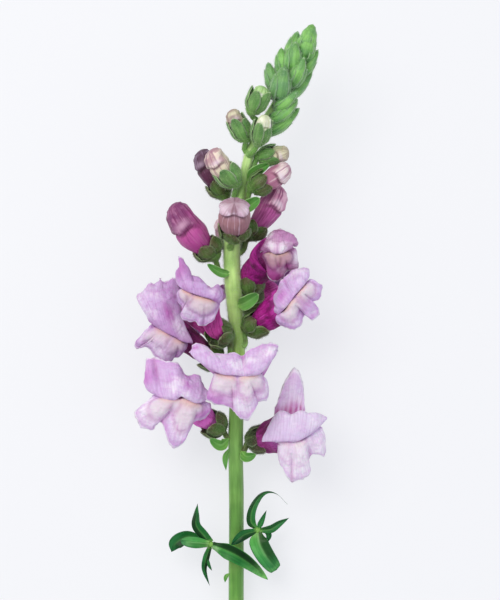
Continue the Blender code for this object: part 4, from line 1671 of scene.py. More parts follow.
@dataclass(frozen=True)
class TipCone:
    """The cone of closed scales at the very tip of the stem."""

    base: Point
    tip: Point
    width: float
    count: int = 13
    turn: float = 137.5  # degrees from one scale to the next
    scale: float = 9.5  # length of its lowest scale
    climb: float = 0.62  # how far up the cone its scales stand, as a share of its length
    shrink: float = 0.4  # how much shorter its highest scale is, as a share of its lowest

    def _scale_piece(self, finish: Material) -> Piece:
        """Makes one scale, growing along Z from the origin and bulging towards X.

        Args:
            finish: Its material.

        Returns:
            The scale.
        """
        surface = Surface()
        long = self.scale
        points = ((0, 0, 0), (1.7, 0, long * 0.3), (2.0, 0, long * 0.66), (0.2, 0, long))
        Blade(
            points, long * 0.42, (1, 0, 0), fold=0.1, cup=-0.5, twist=0.12, widest=0.5,
            foot=0.7, point=0.2, thickness=0.5, wave=0.15,
        ).add(surface, 20, 12)
        still = Lay(Matrix.Scale(MM, 4))
        return surface.make("tip_cone_scales", still, finish)

    def build(self, kit: Kit) -> None:
        """Makes the cone's core, and the scales that spiral up it.

        Args:
            kit: What it is made with.
        """
        base, tip = Vector(self.base), Vector(self.tip)
        surface = Surface()
        radii = [(t, self.width / 2 * r) for t, r in CONE_CORE]
        add_shaft(surface, lambda t: base.lerp(tip, t * 0.94), radii, (0.3, 0.9), 18, 20)
        made = kit.piece(surface, "tip_cone_core", Finish.SCALE)
        dress(made, "tip_bracts", "tip_cone")
        finish = kit.material(Finish.SCALE)
        scales = self._spiral(kit.lay, finish)
        Down().grow(scales, finish)
        dress(scales, "tip_bracts")

    def _spiral(self, lay: Lay, finish: Material) -> Piece:
        """Makes the scales in their spiral.

        Args:
            lay: How the plant lies.
            finish: Their material.

        Returns:
            One piece with all of them.
        """
        base, tip = Vector(self.base), Vector(self.tip)
        square = lay(base + (tip - base).cross((0, 0, 1))) - lay(base)
        growth = Growth("spiral_of_scales")
        foot = growth.setting("Foot", lay(base))
        span = growth.setting("Axis", lay(tip) - lay(base))
        side = growth.setting("Side", square.normalized())
        count = growth.setting("Count", self.count)
        turn = growth.setting("Turn", math.radians(self.turn))
        girth = growth.setting("Girth", self.width / 4 * MM)
        index = growth.out("GeometryNodeInputIndex")
        share = growth.math("DIVIDE", index, count)
        angle = growth.product(index, turn)
        spun = {"Vector": side, "Axis": span, "Angle": angle}
        out = growth.out("ShaderNodeVectorRotate", spun, rotation_type="AXIS_ANGLE")
        slim = growth.math("SUBTRACT", 1.0, growth.math("POWER", share, 1.6))
        up_by = growth.product(share, self.climb)
        climb = growth.vector("ADD", foot, growth.vector("SCALE", span, up_by))
        off = growth.vector("SCALE", out, growth.product(girth, slim))
        where = {"Count": count, "Position": growth.vector("ADD", climb, off)}
        align = "FunctionNodeAlignRotationToVector"
        ahead = growth.out(align, {"Factor": 1.0, "Vector": span}, axis="Z")
        facing = {"Rotation": ahead, "Factor": 1.0, "Vector": out}
        copies = {
            "Points": growth.out("GeometryNodePoints", where),
            "Instance": growth.start.outputs[0],
            "Rotation": growth.out(align, facing, axis="X", pivot_axis="Z"),
            "Scale": growth.math("SUBTRACT", 1.0, growth.product(share, self.shrink)),
        }
        spiral = growth.out("GeometryNodeInstanceOnPoints", copies)
        return growth.grow(self._scale_piece(finish), spiral, finish)


@dataclass(frozen=True)
class Stem:
    """The stem, and what grows from it without a joint."""

    bracts: tuple[Blade, ...]
    stalks: tuple[tuple[Point, Point], ...]
    ribs: int = 5
    rib_depth: float = 0.018  # as a share of its radius
    steps: int = 80
    rings: int = 150
    sides: int = 60
    joint: float = 1.3  # radius of the swelling that a shoot's leaves grow from
    down: Down = Down(2.5, 1.0, 0.055, bare=0.52)

    def build(self, kit: Kit) -> None:
        """Makes the stem, its bracts and the stalks of its side shoots.

        Args:
            kit: What it is made with.
        """
        self._stem(kit)
        surface = Surface()
        for bract in self.bracts:
            bract.add(surface, 24, 12)
        dress(kit.piece(surface, "stem_bracts", Finish.BRACT), "leaf", "stem")
        surface = Surface()
        for start, end in self.stalks:
            start, end = Vector(start), Vector(end)
            out = (end - start).normalized()
            far = end + out * self.joint
            long = (far - start).length
            ball = [
                (1 + (math.sin(a) - 1) * self.joint / long, self.joint * math.cos(a))
                for a in (-0.9, -0.4, 0.0, 0.5, 0.9, 1.3, 1.55)
            ]
            radii = ((0, 1.5), (0.3, 1.05), *ball)
            add_shaft(surface, lambda t: start.lerp(far, t), radii, (0.0, 0.1), 26, 20)
        dress(kit.piece(surface, "shoot_stalks", Finish.BRACT), "leaf", "stem")

    def _line(self, lay: Lay) -> Piece:
        """Makes the stem's midline, with its radius and its place along it at each point.

        Args:
            lay: How the plant lies.

        Returns:
            The midline.
        """
        line = [spline(STEM_MIDLINE, i / self.steps) for i in range(self.steps + 1)]
        mesh = bpy.data.meshes.new("stem_skin")
        mesh.from_pydata([lay(p) for p in line], [(i, i + 1) for i in range(self.steps)], [])
        tracks = {
            "girth": [
                profile(STEM_RADII, p.y) * MM * (1 + 0.03 * wobble(p, 14)) for p in line
            ],
            "along": [p.y for p in line],
            Value.REACH.value: [p.y / STEM_MIDLINE[-1][1] for p in line],
        }
        for name, values in tracks.items():
            mesh.attributes.new(name, "FLOAT", "POINT").data.foreach_set("value", values)
        return put("stem_skin", mesh)

    def _stem(self, kit: Kit) -> None:
        """Sweeps the ribbed stem along its line.

        Args:
            kit: What it is made with.
        """
        piece, finish = self._line(kit.lay), kit.material(Finish.STEM)
        growth = Growth("ribbed_stem")
        rings = growth.setting("Rings", self.rings)
        sides = growth.setting("Sides", self.sides)
        ribs = growth.setting("Ribs", float(self.ribs))
        depth = growth.setting("Rib depth", self.rib_depth)
        path = growth.out("GeometryNodeMeshToCurve", {"Mesh": growth.start.outputs[0]})
        path = growth.out("GeometryNodeResampleCurve", {"Curve": path, "Count": rings})
        circle = {"Resolution": sides, "Radius": 1.0}
        section = growth.out("GeometryNodeCurvePrimitiveCircle", circle)
        factor = growth.node("GeometryNodeSplineParameter").outputs["Factor"]
        turned = growth.product(growth.product(factor, math.tau), ribs)
        ridge = growth.product(growth.math("COSINE", turned), depth)
        place = growth.out("GeometryNodeInputPosition")
        ribbed = {"Geometry": section, "Offset": growth.vector("SCALE", place, ridge)}
        section = growth.out("GeometryNodeSetPosition", ribbed)
        section = growth.store(section, "section", place, "FLOAT_VECTOR")
        swept = {
            "Curve": path, "Profile Curve": section, "Scale": growth.named("girth"),
            "Fill Caps": True,
        }
        body = growth.out("GeometryNodeCurveToMesh", swept)
        across = growth.vector("SCALE", growth.named("section", "FLOAT_VECTOR"), STEM_RADII[0][1])
        parts = growth.node("ShaderNodeSeparateXYZ", {0: across}).outputs
        whole = {0: parts[0], 1: growth.named("along"), 2: parts[1]}
        grain = growth.out("ShaderNodeCombineXYZ", whole)
        body = growth.store(body, "grain", grain, "FLOAT_VECTOR")
        growth.grow(piece, body, finish)
        self.down.grow(piece, finish)
        dress(piece, "stem", "stem")


# --- The spike ---

LEFT_JOINT = (-10.5, 48, 4.6)
RIGHT_JOINT = (9, 53.5, 2.2)

# In the flowers below, patches painted nearly white are painted highlights, and the dark patches along
# folds are painted shade.
FRONT_FLOWER = Flower(
    "front_flower", (104, 90), (0, 111, 7), (0, 0.35, 0.9), (2, 118, 24), (0, -0.1, 1), (0, 1, 0.1),
    (9, 3.2),
    Lip.over(
        (
            (-18, 128, 27.5), (-14.5, 125.5, 29), (-9.5, 122.5, 30.5), (-5, 120.5, 31), (0, 120, 31),
            (3.5, 119.5, 31), (6.5, 120, 31), (10, 121, 30), (14, 125.5, 28.5), (16.5, 129, 27),
        ),
        (
            (-18, 129, 26.5), (-17.5, 131, 26), (-14.5, 132, 26), (-11.5, 131, 26.5), (-8, 128.5, 27),
            (-1.5, 128.5, 27.5), (2.5, 128, 27.5), (5.5, 129.5, 27), (10, 131.5, 26.5), (14, 132.5, 26),
            (17, 131, 26), (16.5, 129.5, 26.5),
        ),
        partings=(0.56,), gleams=((0.84, 0.8, 0.12), (0.3, 0.9, 0.08)), stains=((0.1, 0.86, 0.06),),
    ),
    Lip.over(
        (
            (-9, 120, 26.5), (-5, 119, 28.5), (-1, 118.5, 29.5), (3, 118.5, 29.5), (6.5, 118.5, 29),
            (11, 120, 26.5),
        ),
        (
            (-9, 119, 25.5), (-10.5, 115.5, 26), (-12, 109.5, 25.5), (-10, 108, 26), (-5.5, 106.5, 27),
            (-1, 105, 27.5), (0, 103.5, 27), (2.5, 101.5, 26.5), (5.5, 101, 26.5), (7.5, 104, 27),
            (9, 107.5, 27), (11, 109, 26), (13, 110, 25), (13, 115, 25), (11.5, 118.5, 25.5),
        ),
        humps=((0.25, 0.26), (0.73, 0.26)), partings=(0.36, 0.74),
        stains=((0.2, 0.95, 0.13), (0.8, 0.72, 0.06), (0.38, 0.75, 0.05)),
        gleams=((0.53, 0.82, 0.2), (0.82, 0.92, 0.14)),
    ),
    seed=3.1,
)
LOWER_LEFT_FLOWER = Flower(
    "lower_left_flower", (92, 165), (-6.5, 96, 1), (-0.75, 0.5, 0.4), (-24, 109, 11),
    (-0.3, -0.05, 0.95), (0, 1, 0.1), (9, 3.4),
    Lip.over(
        (
            (-37, 114, 13), (-34, 112, 15), (-30, 110, 17), (-25.5, 109.5, 18), (-22.5, 111, 18),
            (-19.5, 109.5, 18), (-15.5, 108, 16.5), (-11, 109.5, 14),
        ),
        (
            (-37, 115, 12), (-37.5, 120, 12), (-37, 125.5, 12), (-33, 126.5, 13), (-29, 125, 14),
            (-24.5, 124, 14), (-21.5, 121, 13.5), (-20, 119, 13), (-15, 119, 12.5), (-13.5, 114.5, 13),
            (-11, 111.5, 13),
        ),
        partings=(0.27,), stains=((0.12, 0.8, 0.16), (0.66, 0.75, 0.08), (0.66, 0.92, 0.06)),
        gleams=((0.45, 0.66, 0.07),),
    ),
    Lip.over(
        (
            (-34.5, 110.5, 13.5), (-30, 109, 15.5), (-25.5, 108.5, 16), (-21.5, 108.5, 16),
            (-17.5, 107, 15.5), (-14, 106.5, 14), (-11.5, 107.5, 12.5),
        ),
        (
            (-34.5, 109.5, 12.5), (-37, 107.5, 12.5), (-40, 105.5, 12), (-41.5, 102.5, 11.5),
            (-39.5, 97, 12), (-35, 96, 13), (-31.5, 99.5, 14), (-29, 95, 13.5), (-27.5, 90, 13),
            (-24.5, 88.5, 13), (-21.5, 91, 13), (-20, 94.5, 13.5), (-18, 98, 13), (-15, 99.5, 12),
            (-11.5, 103, 11), (-10.5, 107, 11),
        ),
        humps=((0.3, 0.2), (0.62, 0.26)), partings=(0.41, 0.78),
        gleams=((0.18, 0.85, 0.24), (0.55, 0.8, 0.12)), stains=((0.88, 0.8, 0.1),),
    ),
    seed=1.9,
)
LOWER_RIGHT_FLOWER = Flower(
    "lower_right_flower", (86, 20), (6.5, 91, 1), (0.8, 0.15, 0.35), (22, 94.5, 10), (0.3, -0.15, 0.93),
    (-0.15, 1, 0.1), (8.5, 3.4),
    Lip.over(
        (
            (11, 91.5, 14), (14, 92, 16), (18, 92, 18), (21.5, 92, 18.5), (25, 92, 18.5),
            (28.5, 93.5, 18), (33, 96.5, 17), (37, 100.5, 15),
        ),
        (
            (12, 94.5, 13), (16, 100.5, 14), (19, 103, 15.5), (23, 101.5, 17), (27, 103, 17),
            (30, 102, 17), (33.5, 102.5, 16), (37.5, 101.5, 14),
        ),
        (
            (12.5, 94, 10.5), (16, 98.5, 9.5), (18, 99, 9.5), (21, 99, 9.5), (24, 99.5, 9.5),
            (27, 99.5, 10), (30, 99.5, 11), (37, 100.5, 13),
        ),
        (
            (12.5, 95, 9.5), (15.5, 99, 9), (16.5, 106, 8.5), (19, 113, 8), (24.5, 122, 7.5),
            (27.5, 116, 7.5), (28.5, 106, 9), (29.5, 100, 10.5), (37, 101, 12.5),
        ),
        # These darker patches run along the fold behind the brow, as a line of painted shade.
        stains=(
            (0.22, 0.94, 0.08), (0.28, 0.89, 0.05), (0.35, 0.85, 0.04), (0.42, 0.83, 0.04),
            (0.5, 0.82, 0.04), (0.6, 0.835, 0.04), (0.7, 0.88, 0.04), (0.78, 0.93, 0.04),
        ),
    ),
    Lip.over(
        (
            (17, 91, 13.5), (19.5, 91, 15.5), (22.5, 91, 16.5), (25.5, 91, 16.5), (29, 92.5, 16),
            (32.5, 95.5, 15), (35.5, 97.5, 14),
        ),
        (
            (18, 90.5, 12), (17.5, 87.5, 12.5), (17, 84.5, 12), (18.5, 81, 13), (21, 77, 13),
            (24, 74.5, 13), (28, 76, 13), (31, 79, 13), (30.5, 82.5, 13.5), (32.5, 85.5, 13),
            (34.5, 85.5, 12.5), (37, 85, 12), (37.5, 89.5, 12), (36, 95, 12.5),
        ),
        humps=((0.22, 0.2), (0.52, 0.24)), partings=(0.36, 0.66), puff=1.2, swell=0.45,
        stains=((0.05, 0.66, 0.04), (0.02, 0.5, 0.05)), gleams=((0.8, 0.85, 0.2), (0.45, 0.85, 0.2)),
    ),
    # Its calyx wears the sepals' colours darkened with painted shade.
    finish=Finish.PALEST, seed=0.4, girth=1.35, sepals=Finish.SHADED_SEPAL,
)
LEFT_FLOWER = Flower(
    "left_flower", (118, 185), (-7.5, 124, -1), (-0.8, 0.5, 0.1), (-27.5, 137, 2), (-0.3, -0.15, 0.92),
    (0.42, 0.9, 0.2), (9, 3.4),
    Lip.over(
        (
            (-36, 141, 5.5), (-33, 139, 8), (-29.5, 137, 9.5), (-26, 135.5, 10), (-22.5, 133.5, 9),
            (-18, 132.5, 7),
        ),
        (
            (-37.5, 143.5, 6.5), (-37.5, 148, 8), (-34, 150, 9), (-30, 149.5, 9), (-26.5, 147, 8.5),
            (-21, 139, 7),
        ),
        (
            (-36.5, 142, 4.5), (-38.5, 146, 4), (-41.5, 150.5, 3.5), (-42, 152.5, 3.5), (-39, 155, 4),
            (-36, 157, 4), (-34, 157, 4), (-31.5, 159.5, 4), (-31, 157.5, 4.5), (-28.5, 158, 4),
            (-27, 160, 4), (-25, 159, 4), (-23, 152, 4.5), (-22.5, 142.5, 5.5), (-18.5, 133.5, 6),
        ),
        # The darker patches mark the hollow where the upper lip's halves overlap, painted as shade; the
        # patches painted nearly white are painted highlights on its fold.
        puff=1.2, stains=((0.62, 0.56, 0.08), (0.72, 0.57, 0.06)),
        gleams=(
            (0.15, 0.95, 0.3), (0.38, 0.73, 0.05), (0.47, 0.71, 0.05), (0.55, 0.7, 0.04),
            (0.1, 0.6, 0.12), (0.85, 0.5, 0.12),
        ),
    ),
    Lip.over(
        (
            (-35.5, 139.5, 4.5), (-32.5, 138, 6.5), (-29, 136, 7.5), (-26, 134, 8), (-23, 132.5, 7),
            (-20.5, 131.5, 5),
        ),
        (
            (-36, 140, 3.5), (-37, 137.5, 3.5), (-40, 134.5, 3), (-42.5, 131.5, 2.5), (-42, 129, 2.5),
            (-39, 131, 3.5), (-36, 129, 4), (-33, 126, 4), (-30.5, 124, 4), (-28, 123.5, 4),
            (-25.5, 125.5, 4), (-23, 128, 3.5), (-21, 130.5, 3), (-20, 132.5, 3.5),
        ),
        humps=((0.36, 0.28), (0.76, 0.24)), partings=(0.3, 0.78), swell=0.7,
        gleams=((0.55, 0.85, 0.2), (0.2, 0.8, 0.1)),
    ),
    finish=Finish.DEEP_MAUVE, seed=4.6,
)
LEFT_FRONT_FLOWER = Flower(
    "left_front_flower", (126, 140), (-4, 135, 6.5), (-0.75, 0.25, 0.6), (-14.5, 151, 18.5),
    (-0.3, -0.25, 0.91), (0.4, 0.9, 0.25), (8, 3.2),
    Lip.over(
        (
            (-23.5, 156.5, 21.5), (-20.5, 154.5, 24), (-17.5, 153.5, 25.5), (-13.5, 152, 26),
            (-10, 151, 25.5), (-6, 149.5, 23),
        ),
        (
            (-23.5, 157, 20.5), (-24.5, 160, 19.5), (-24, 162.5, 19), (-23, 165.5, 18.5),
            (-23.5, 168, 18), (-21, 165.5, 18.5), (-21.5, 160.5, 20), (-17, 160, 21),
            (-14, 158.5, 21.5), (-12, 156.5, 21.5), (-9.5, 155, 21.5), (-7, 156, 21), (-5, 153.5, 21),
            (-5, 150.5, 21.5),
        ),
        stains=((0.25, 0.85, 0.14),),
    ),
    Lip.over(
        (
            (-22.5, 154.5, 21.5), (-20, 153, 23.5), (-16.5, 151.5, 24.5), (-13, 150.5, 24.5),
            (-9.5, 149.5, 23.5), (-7, 148.5, 21.5),
        ),
        (
            (-23, 155, 20), (-24, 152.5, 20), (-23.5, 149, 20.5), (-22, 147, 21), (-22.5, 145, 20.5),
            (-21.5, 142.5, 20.5), (-19, 141, 21), (-16.5, 141, 21), (-15, 139.5, 21),
            (-12.5, 139.5, 21), (-10.5, 140.5, 21), (-8.5, 143.5, 20.5), (-7, 146.5, 20), (-6, 149, 20),
        ),
        humps=((0.2, 0.19), (0.62, 0.36)), partings=(0.3, 0.66), puff=1.0,
        gleams=((0.4, 0.85, 0.14), (0.6, 0.62, 0.12), (0.8, 0.9, 0.1)),
    ),
    finish=Finish.MAUVE, seed=5.2, girth=1.05,
)
RIGHT_FLOWER = Flower(
    "right_flower", (131, 20), (5, 138, 1), (0.85, 0.45, 0.2), (23.5, 149.5, 10.5), (0.35, -0.05, 0.93),
    (-0.76, 0.65, 0.2), (8.5, 3.2),
    Lip.over(
        (
            (17, 144.5, 13.5), (19.5, 146.5, 16), (22, 149.5, 17.5), (24.5, 153, 17.5), (27, 156, 16.5),
            (29, 158.5, 14),
        ),
        (
            (16, 145, 12), (16, 148, 12), (15.5, 151, 12), (17, 153.5, 12), (18, 157.5, 12),
            (20.5, 159.5, 12), (23, 162, 12), (26.5, 163, 12), (30.5, 163, 11.5), (29.5, 160.5, 12.5),
        ),
        partings=(0.52,), stains=((0.35, 0.72, 0.12),), gleams=((0.75, 0.9, 0.12),),
    ),
    Lip.over(
        (
            (18.5, 144, 13), (21, 146, 15), (23, 149, 16), (25.5, 152, 16), (28, 155, 15),
            (30, 158, 13),
        ),
        (
            (17.5, 144, 12), (16.5, 142, 11.5), (18.5, 140, 12), (21.5, 138.5, 12.5), (24, 138, 12.5),
            (26.5, 140, 13), (28.5, 143, 13), (30.5, 143, 12.5), (32, 141.5, 12), (34.5, 145, 11.5),
            (33, 148.5, 12.5), (31.5, 149, 13), (34.5, 150.5, 12.5), (35.5, 153.5, 12), (36, 156, 11.5),
            (33.5, 158, 11.5), (30.5, 158.5, 12),
        ),
        humps=((0.3, 0.28), (0.72, 0.22)), partings=(0.4, 0.69),
    ),
    finish=Finish.ROSE, seed=6.7, girth=1.2,
)
RIGHT_UPPER_FLOWER = Flower(
    "right_upper_flower", (150, 350), (6, 153.5, -2.5), (0.02, 0.95, 0.1), (17.5, 168.5, 5.5),
    (0.3, -0.35, 0.9), (-0.1, 1, 0.4), (6, 3.2),
    Lip.over(
        (
            (11, 170.5, 8.5), (13.5, 171, 11), (16, 170, 12.5), (19, 170, 12.5), (21.5, 171.5, 11.5),
            (24, 173.5, 9.5),
        ),
        (
            (9.5, 169.5, 6.5), (11, 172.5, 6.5), (13, 176, 6.5), (15.5, 179, 6.5), (19, 180, 7),
            (21.5, 179, 7.5), (24.5, 176.5, 8), (26.5, 173.5, 8), (24.5, 173.5, 8.5),
        ),
        ruffle=0.3, gleams=((0.35, 0.62, 0.12), (0.6, 0.58, 0.1)), stains=((0.05, 0.8, 0.12),),
    ),
    Lip.over(
        (
            (11.5, 169, 8), (14, 169.5, 10), (16.5, 168.5, 11), (19.5, 169, 11), (22, 170.5, 9.5),
            (24, 171.5, 7.5),
        ),
        (
            (11, 168.5, 6.5), (11.5, 166, 7.5), (12.5, 163, 8), (14, 159.5, 8), (16.5, 158, 8),
            (19, 158.5, 8), (20.5, 161, 8.5), (23, 162, 8), (25.5, 163, 7), (26, 166.5, 6.5),
            (25.5, 170, 6), (24, 171.5, 6),
        ),
        humps=((0.24, 0.26), (0.58, 0.22)), partings=(0.6,), ruffle=0.3, puff=1.0,
        stains=((0.35, 0.95, 0.24), (0.46, 0.72, 0.1), (0.6, 0.86, 0.1)), gleams=((0.8, 0.85, 0.13),),
    ),
    finish=Finish.DUSKY, seed=7.3, girth=1.65,
)
FLOWERS = (
    FRONT_FLOWER, LOWER_LEFT_FLOWER, LOWER_RIGHT_FLOWER, LEFT_FLOWER, LEFT_FRONT_FLOWER, RIGHT_FLOWER,
    RIGHT_UPPER_FLOWER,
    FRONT_FLOWER.turned_back(
        0.75, name="back_left_flower", node=(128, 225), base=(-4.5, 134, -5), heading=(-0.6, 0.4, -0.6),
        mouth=(-17, 146, -13), finish=Finish.MAUVE, seed=8.8,
    ),
    LOWER_LEFT_FLOWER.turned_back(
        0.75, name="back_right_flower", node=(144, 310), base=(4, 148, -6.6),
        heading=(0.55, 0.3, -0.75), mouth=(14, 153, -16), finish=Finish.MAUVE, seed=9.5,
    ),
)

YOUNG = {"sepals": Finish.YOUNG_SEPAL, "slot": "young_petals"}
BUDS = (
    Bud(
        "left_bud", (161, 185), (-10, 169, 2), (-26.5, 190, 6), 6, Finish.MAGENTA_BUD, opening=0.6,
        belly=0.24,
    ),
    Bud(
        "front_bud", (172, 100), (-0.5, 177, 8), (-0.5, 190, 21.5), 7, Finish.FRONT_BUD, opening=0.86,
        cup=0.5,
    ),
    Bud("right_bud", (170, 345), (5.5, 177.5, -4), (19, 198, -5), 5.6, Finish.ROSY_BUD),
    Bud("back_left_bud", (186, 210), (-5.5, 195, -6), (-15, 213.5, -7), 5, Finish.DARK_BUD),
    Bud(
        "upper_left_bud", (192, 150), (-1, 199, 5), (-10.5, 212.5, 9), 4.8, Finish.CREAM_BUD, wrap=8.8,
        **YOUNG,
    ),
    Bud("upper_right_bud", (191, 20), (7.5, 197, 4), (22.5, 206, 5), 4.6, wrap=7.6),
    Bud("back_bud", (169, 262), (-1, 173.5, -7), (-6, 184.5, -28.8), 4.6),
    Bud(
        "high_right_bud", (204, 350), (10.5, 210, -0.5), (22.2, 212.5, 1), 3.7, Finish.STRAW_BUD,
        wrap=8.2, **YOUNG,
    ),
    Bud(
        "high_left_bud", (212, 175), (3.5, 218, 3), (-1.8, 229.5, 6), 3.4, Finish.STRAW_BUD, wrap=10,
        cup=1.5, **YOUNG,
    ),
    Bud(
        "high_front_bud", (211, 80), (9.5, 216.5, 7), (12.3, 226.5, 13), 3, Finish.IVORY_BUD, wrap=9.6,
        cup=1.6, **YOUNG,
    ),
    Bud(
        "top_left_bud", (224, 140), (7.2, 229.4, 5.8), (11.5, 239, 8.2), 3.6, Finish.GREEN_BUD,
        wrap=9.8, cup=1.5, **YOUNG,
    ),
)
LEAVES = (
    Leaf(
        "left_shoot_top_leaf",
        Blade(
            (LEFT_JOINT, (-13.5, 52, 6.5), (-16.5, 56, 7), (-16.5, 60.5, 6.5), (-16, 65, 6)), 2.1,
            widest=0.3, foot=0.9, twist=0.3, shaded=0.9,
        ),
    ),
    Leaf(
        "left_shoot_left_leaf",
        Blade(
            (LEFT_JOINT, (-19.5, 51, 3), (-25, 48.5, 3), (-27, 44.5, 2.5)), 3, widest=0.6, foot=0.5,
            fold=0.35, shaded=0.8,
        ),
    ),
    Leaf(
        "left_shoot_inner_leaf",
        Blade(
            (LEFT_JOINT, (-16.5, 49, 7.5), (-23, 49.5, 7)), 2.4, widest=0.55, foot=0.6, point=0.0,
            fold=0.4, shaded=0.5,
        ),
        Finish.LIGHT_LEAF,
    ),
    Leaf(
        "left_shoot_lower_leaf",
        Blade(
            (LEFT_JOINT, (-12.5, 42, 4), (-13.2, 37, 3), (-11, 30.5, 4)), 1.4, widest=0.3, foot=0.7,
            fold=0.4, shaded=1.0,
        ),
        lobes=(Blade(((-11.8, 43, 4.2), (-11.4, 39.5, 4.2), (-10, 36.8, 4)), 0.7),),
    ),
    Leaf(
        "left_shoot_front_leaf",
        Blade(
            (LEFT_JOINT, (-1.2, 44.5, 9), (6, 40, 8.5), (13.3, 33.5, 7)), 3.3, widest=0.28, foot=0.45,
            point=0.35, fold=0.45, shaded=1.0,
        ),
        Finish.FRONT_LEAF,
    ),
    Leaf(
        "right_shoot_curved_leaf",
        Blade(
            (
                RIGHT_JOINT, (6.3, 57.5, 2), (7, 62.5, 2), (10, 67.5, 2), (13.5, 69.5, 2.5),
                (17.5, 68.5, 3), (21.5, 64.5, 3),
            ),
            1.9, widest=0.14, foot=0.5, point=3.4, twist=0.3, shaded=0.7,
        ),
    ),
    Leaf(
        "right_shoot_small_leaf",
        Blade((RIGHT_JOINT, (10.8, 57.5, 3), (12.8, 62, 3)), 1.2, widest=0.3, foot=0.6),
    ),
    Leaf(
        "right_shoot_right_leaf",
        Blade(
            (RIGHT_JOINT, (14.5, 54, 2.5), (18.5, 56.5, 2), (22.3, 58.7, 2)), 1.7, widest=0.3, foot=0.6,
            shaded=0.6,
        ),
        lobes=(Blade(((12, 54, 2.2), (13.8, 51.5, 1.8), (12.8, 48, 1.5)), 1.2, foot=0.8),),
    ),
    Leaf(
        "right_shoot_lower_leaf",
        Blade(
            (RIGHT_JOINT, (9.8, 48, 4.5), (12.8, 42.5, 4), (17, 37, 3)), 4, widest=0.3, foot=0.45,
            point=-0.42, fold=0.3, twist=0.2, shaded=1.0,
        ),
        Finish.LIGHT_LEAF,
    ),
    Leaf(
        "right_shoot_inner_leaf",
        Blade(
            (RIGHT_JOINT, (3, 51.8, 6.5), (-2, 47.8, 6.5)), 2.1, widest=0.5, foot=0.6, point=0.5,
            shaded=0.8,
        ),
    ),
)
CONE = {"stands_for": "tip_cone"}
TIP_BUDS = (
    TipBud("tip_lower_right_bud", (222, 345), (26.6, 230.5, 0.5), 5.6),
    TipBud("tip_right_bud", (227, 30), (25.8, 233.8, 5), 5.4),
    TipBud("tip_near_scale", (231, 60), (25.8, 237, 7.5), 5.2, **CONE),
    TipBud("tip_front_bud", (235, 95), (20.3, 247, 8.5), 8, Finish.DEEP_SCALE),
    TipBud("tip_upper_right_bud", (236, 350), (32, 246, -1), 4.8),
    TipBud("tip_front_scale", (241.5, 50), (28.2, 251, 6.5), 6.4),
    TipBud("tip_left_scale", (237, 195), (13.5, 250, -2), 5.4, Finish.DEEP_SCALE),
    TipBud("tip_upper_left_scale", (243, 165), (19, 255.5, 1.5), 5.6),
    TipBud("tip_outer_scale", (245, 350), (34.3, 255, -0.5), 5, **CONE),
    TipBud("tip_high_scale", (246, 110), (24.8, 258, 5.5), 6.6, **CONE),
    TipBud("tip_back_scale", (247, 200), (26, 263, -2), 6.4, **CONE),
)
STEM = Stem(
    bracts=(
        Blade(((2, 86.5, 2), (4.5, 84.5, 4.5), (8.5, 85.5, 6)), 2.2, cup=0.5, point=0.15),
        Blade(((-3, 92, 2), (-6.5, 89.5, 4.5), (-11, 92, 6)), 2.4, cup=0.5, point=0.15),
        Blade(((0.5, 147.5, 2), (4.5, 149, 5), (9.5, 152.5, 5.5)), 3.0, cup=0.5, point=0.1),
        Blade(((2, 189, 1), (5.5, 189.5, 5.5), (10, 192.5, 7)), 2.8, cup=0.6, point=0.0),
        Blade(((4.5, 200, 1), (8, 203.5, 3), (14, 207, 2)), 2.4, cup=0.5, point=0.15),
        Blade(((-1.5, 161, 2), (-6.5, 161.5, 4.5), (-12, 165, 5)), 1.9, cup=0.5, point=0.15),
        Blade(((-2.2, 88.5, 1.5), (-4.4, 84, 1.5), (-4.2, 78.5, 1.2)), 1.3),
        Blade(((-2.6, 35.5, 1.5), (-4.2, 34, 2), (-4.6, 31.6, 2)), 0.9),
    ),
    stalks=(((-1, 46, 1), LEFT_JOINT), ((1, 50, 0), RIGHT_JOINT)),
)
TIP_CONE = TipCone((27, 249.5, 1), (32.6, 266.8, 0.5), 10)


# --- The setting ---


@dataclass(frozen=True)
class Lamp:
    """A square light that looks at the middle of the spike."""

    name: str
    place: Point  # in the plant's frame, in millimetres
    side: float  # metres
    power: float
    colour: str = "ffffff"


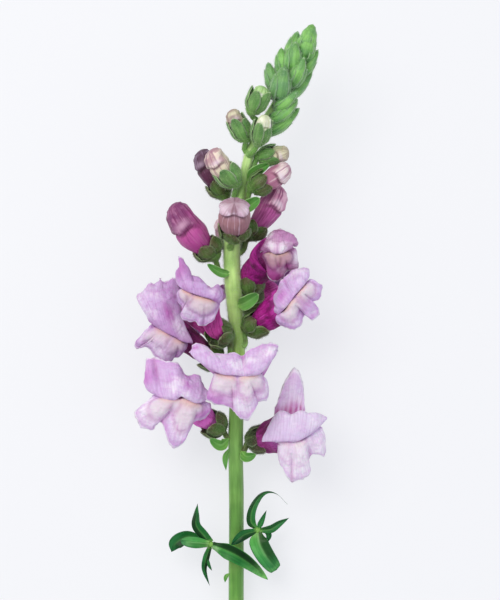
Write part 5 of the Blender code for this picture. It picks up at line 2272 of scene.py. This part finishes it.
@dataclass(frozen=True)
class Studio:
    """A plain pale floor, soft light from the upper left, and the camera above."""

    lay: Lay
    middle: Point = (5.88, 150, 0)  # what the camera looks at, in the plant's frame
    far: float = 945.0  # millimetres from there to the camera
    lens: float = 135.0
    floor_side: float = 8.0  # metres
    sky: str = "f2f5fa"
    sky_strength: float = 0.63
    paper: str = "f3f4f8"
    paper_glow: float = 0.72  # share of the floor's own brightness in what the camera sees of it
    lamps: tuple[Lamp, ...] = (
        Lamp("key", (-420, 620, 900), 0.8, 7.8, "fffaf2"),
        Lamp("fill", (600, -100, 800), 1.2, 2.0, "f2f6ff"),
    )

    def _floor(self) -> None:
        """Adds the floor."""
        paper, colour = Shading("pale_paper"), tone(self.paper)
        paper.set(Base_Color=colour, Roughness=0.9)
        ray = paper.node("ShaderNodeLightPath").outputs
        seen = paper.math("MAXIMUM", ray["Is Camera Ray"], ray["Is Glossy Ray"])
        glow = paper.out("ShaderNodeEmission", {"Color": colour})
        both = {0: paper.product(seen, self.paper_glow), 1: paper.shader.outputs[0], 2: glow}
        end = paper.tree.nodes["Material Output"].inputs["Surface"]
        paper.feed(end, paper.out("ShaderNodeMixShader", both))
        mesh = bpy.data.meshes.new("floor")
        half = self.floor_side / 2
        corners = [(x * half, y * half, 0.0) for x, y in ((-1, -1), (1, -1), (1, 1), (-1, 1))]
        mesh.from_pydata(corners, [], [(0, 1, 2, 3)])
        mesh.materials.append(paper.material)
        put("floor", mesh)

    def _lamp(self, lamp: Lamp) -> None:
        """Adds a light.

        Args:
            lamp: The light.
        """
        data = bpy.data.lights.new(lamp.name, "AREA")
        data.size = lamp.side
        data.energy = lamp.power
        data.color = tone(lamp.colour)[:3]
        place, middle = self.lay(Vector(lamp.place)), self.lay(Vector(self.middle))
        turn = (middle - place).to_track_quat("-Z", "Y").to_matrix().to_4x4()
        put(lamp.name, data, Matrix.Translation(place) @ turn)

    def _camera(self) -> None:
        """Adds the camera, square to the stem, with the spike's tip up."""
        data = bpy.data.cameras.new("camera")
        data.lens, data.sensor_width = self.lens, 36.0
        data.clip_start, data.clip_end = 0.05, 20.0
        place = self.lay(Vector(self.middle) + Vector((0, 0, self.far)))
        turn = self.lay.matrix.to_3x3().normalized().to_4x4()
        bpy.context.scene.camera = put("camera", data, Matrix.Translation(place) @ turn)

    def build(self) -> None:
        """Adds everything round the spike."""
        self._floor()
        for lamp in self.lamps:
            self._lamp(lamp)
        self._camera()
        world = bpy.data.worlds.new("soft_daylight")
        world.use_nodes = True
        background = world.node_tree.nodes["Background"]
        background.inputs["Color"].default_value = tone(self.sky)
        background.inputs["Strength"].default_value = self.sky_strength
        scene = bpy.context.scene
        scene.world = world
        scene.view_settings.view_transform = "Standard"


def main() -> None:
    """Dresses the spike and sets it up."""
    logging.basicConfig(level=logging.INFO, format="%(name)s: %(message)s")
    kit = Kit(Lay.on_frame())
    for organ in (STEM, *LEAVES, *FLOWERS, *BUDS, *TIP_BUDS, TIP_CONE):
        organ.build(kit)
    Studio(kit.lay).build()


if __name__ == "__main__":
    main()
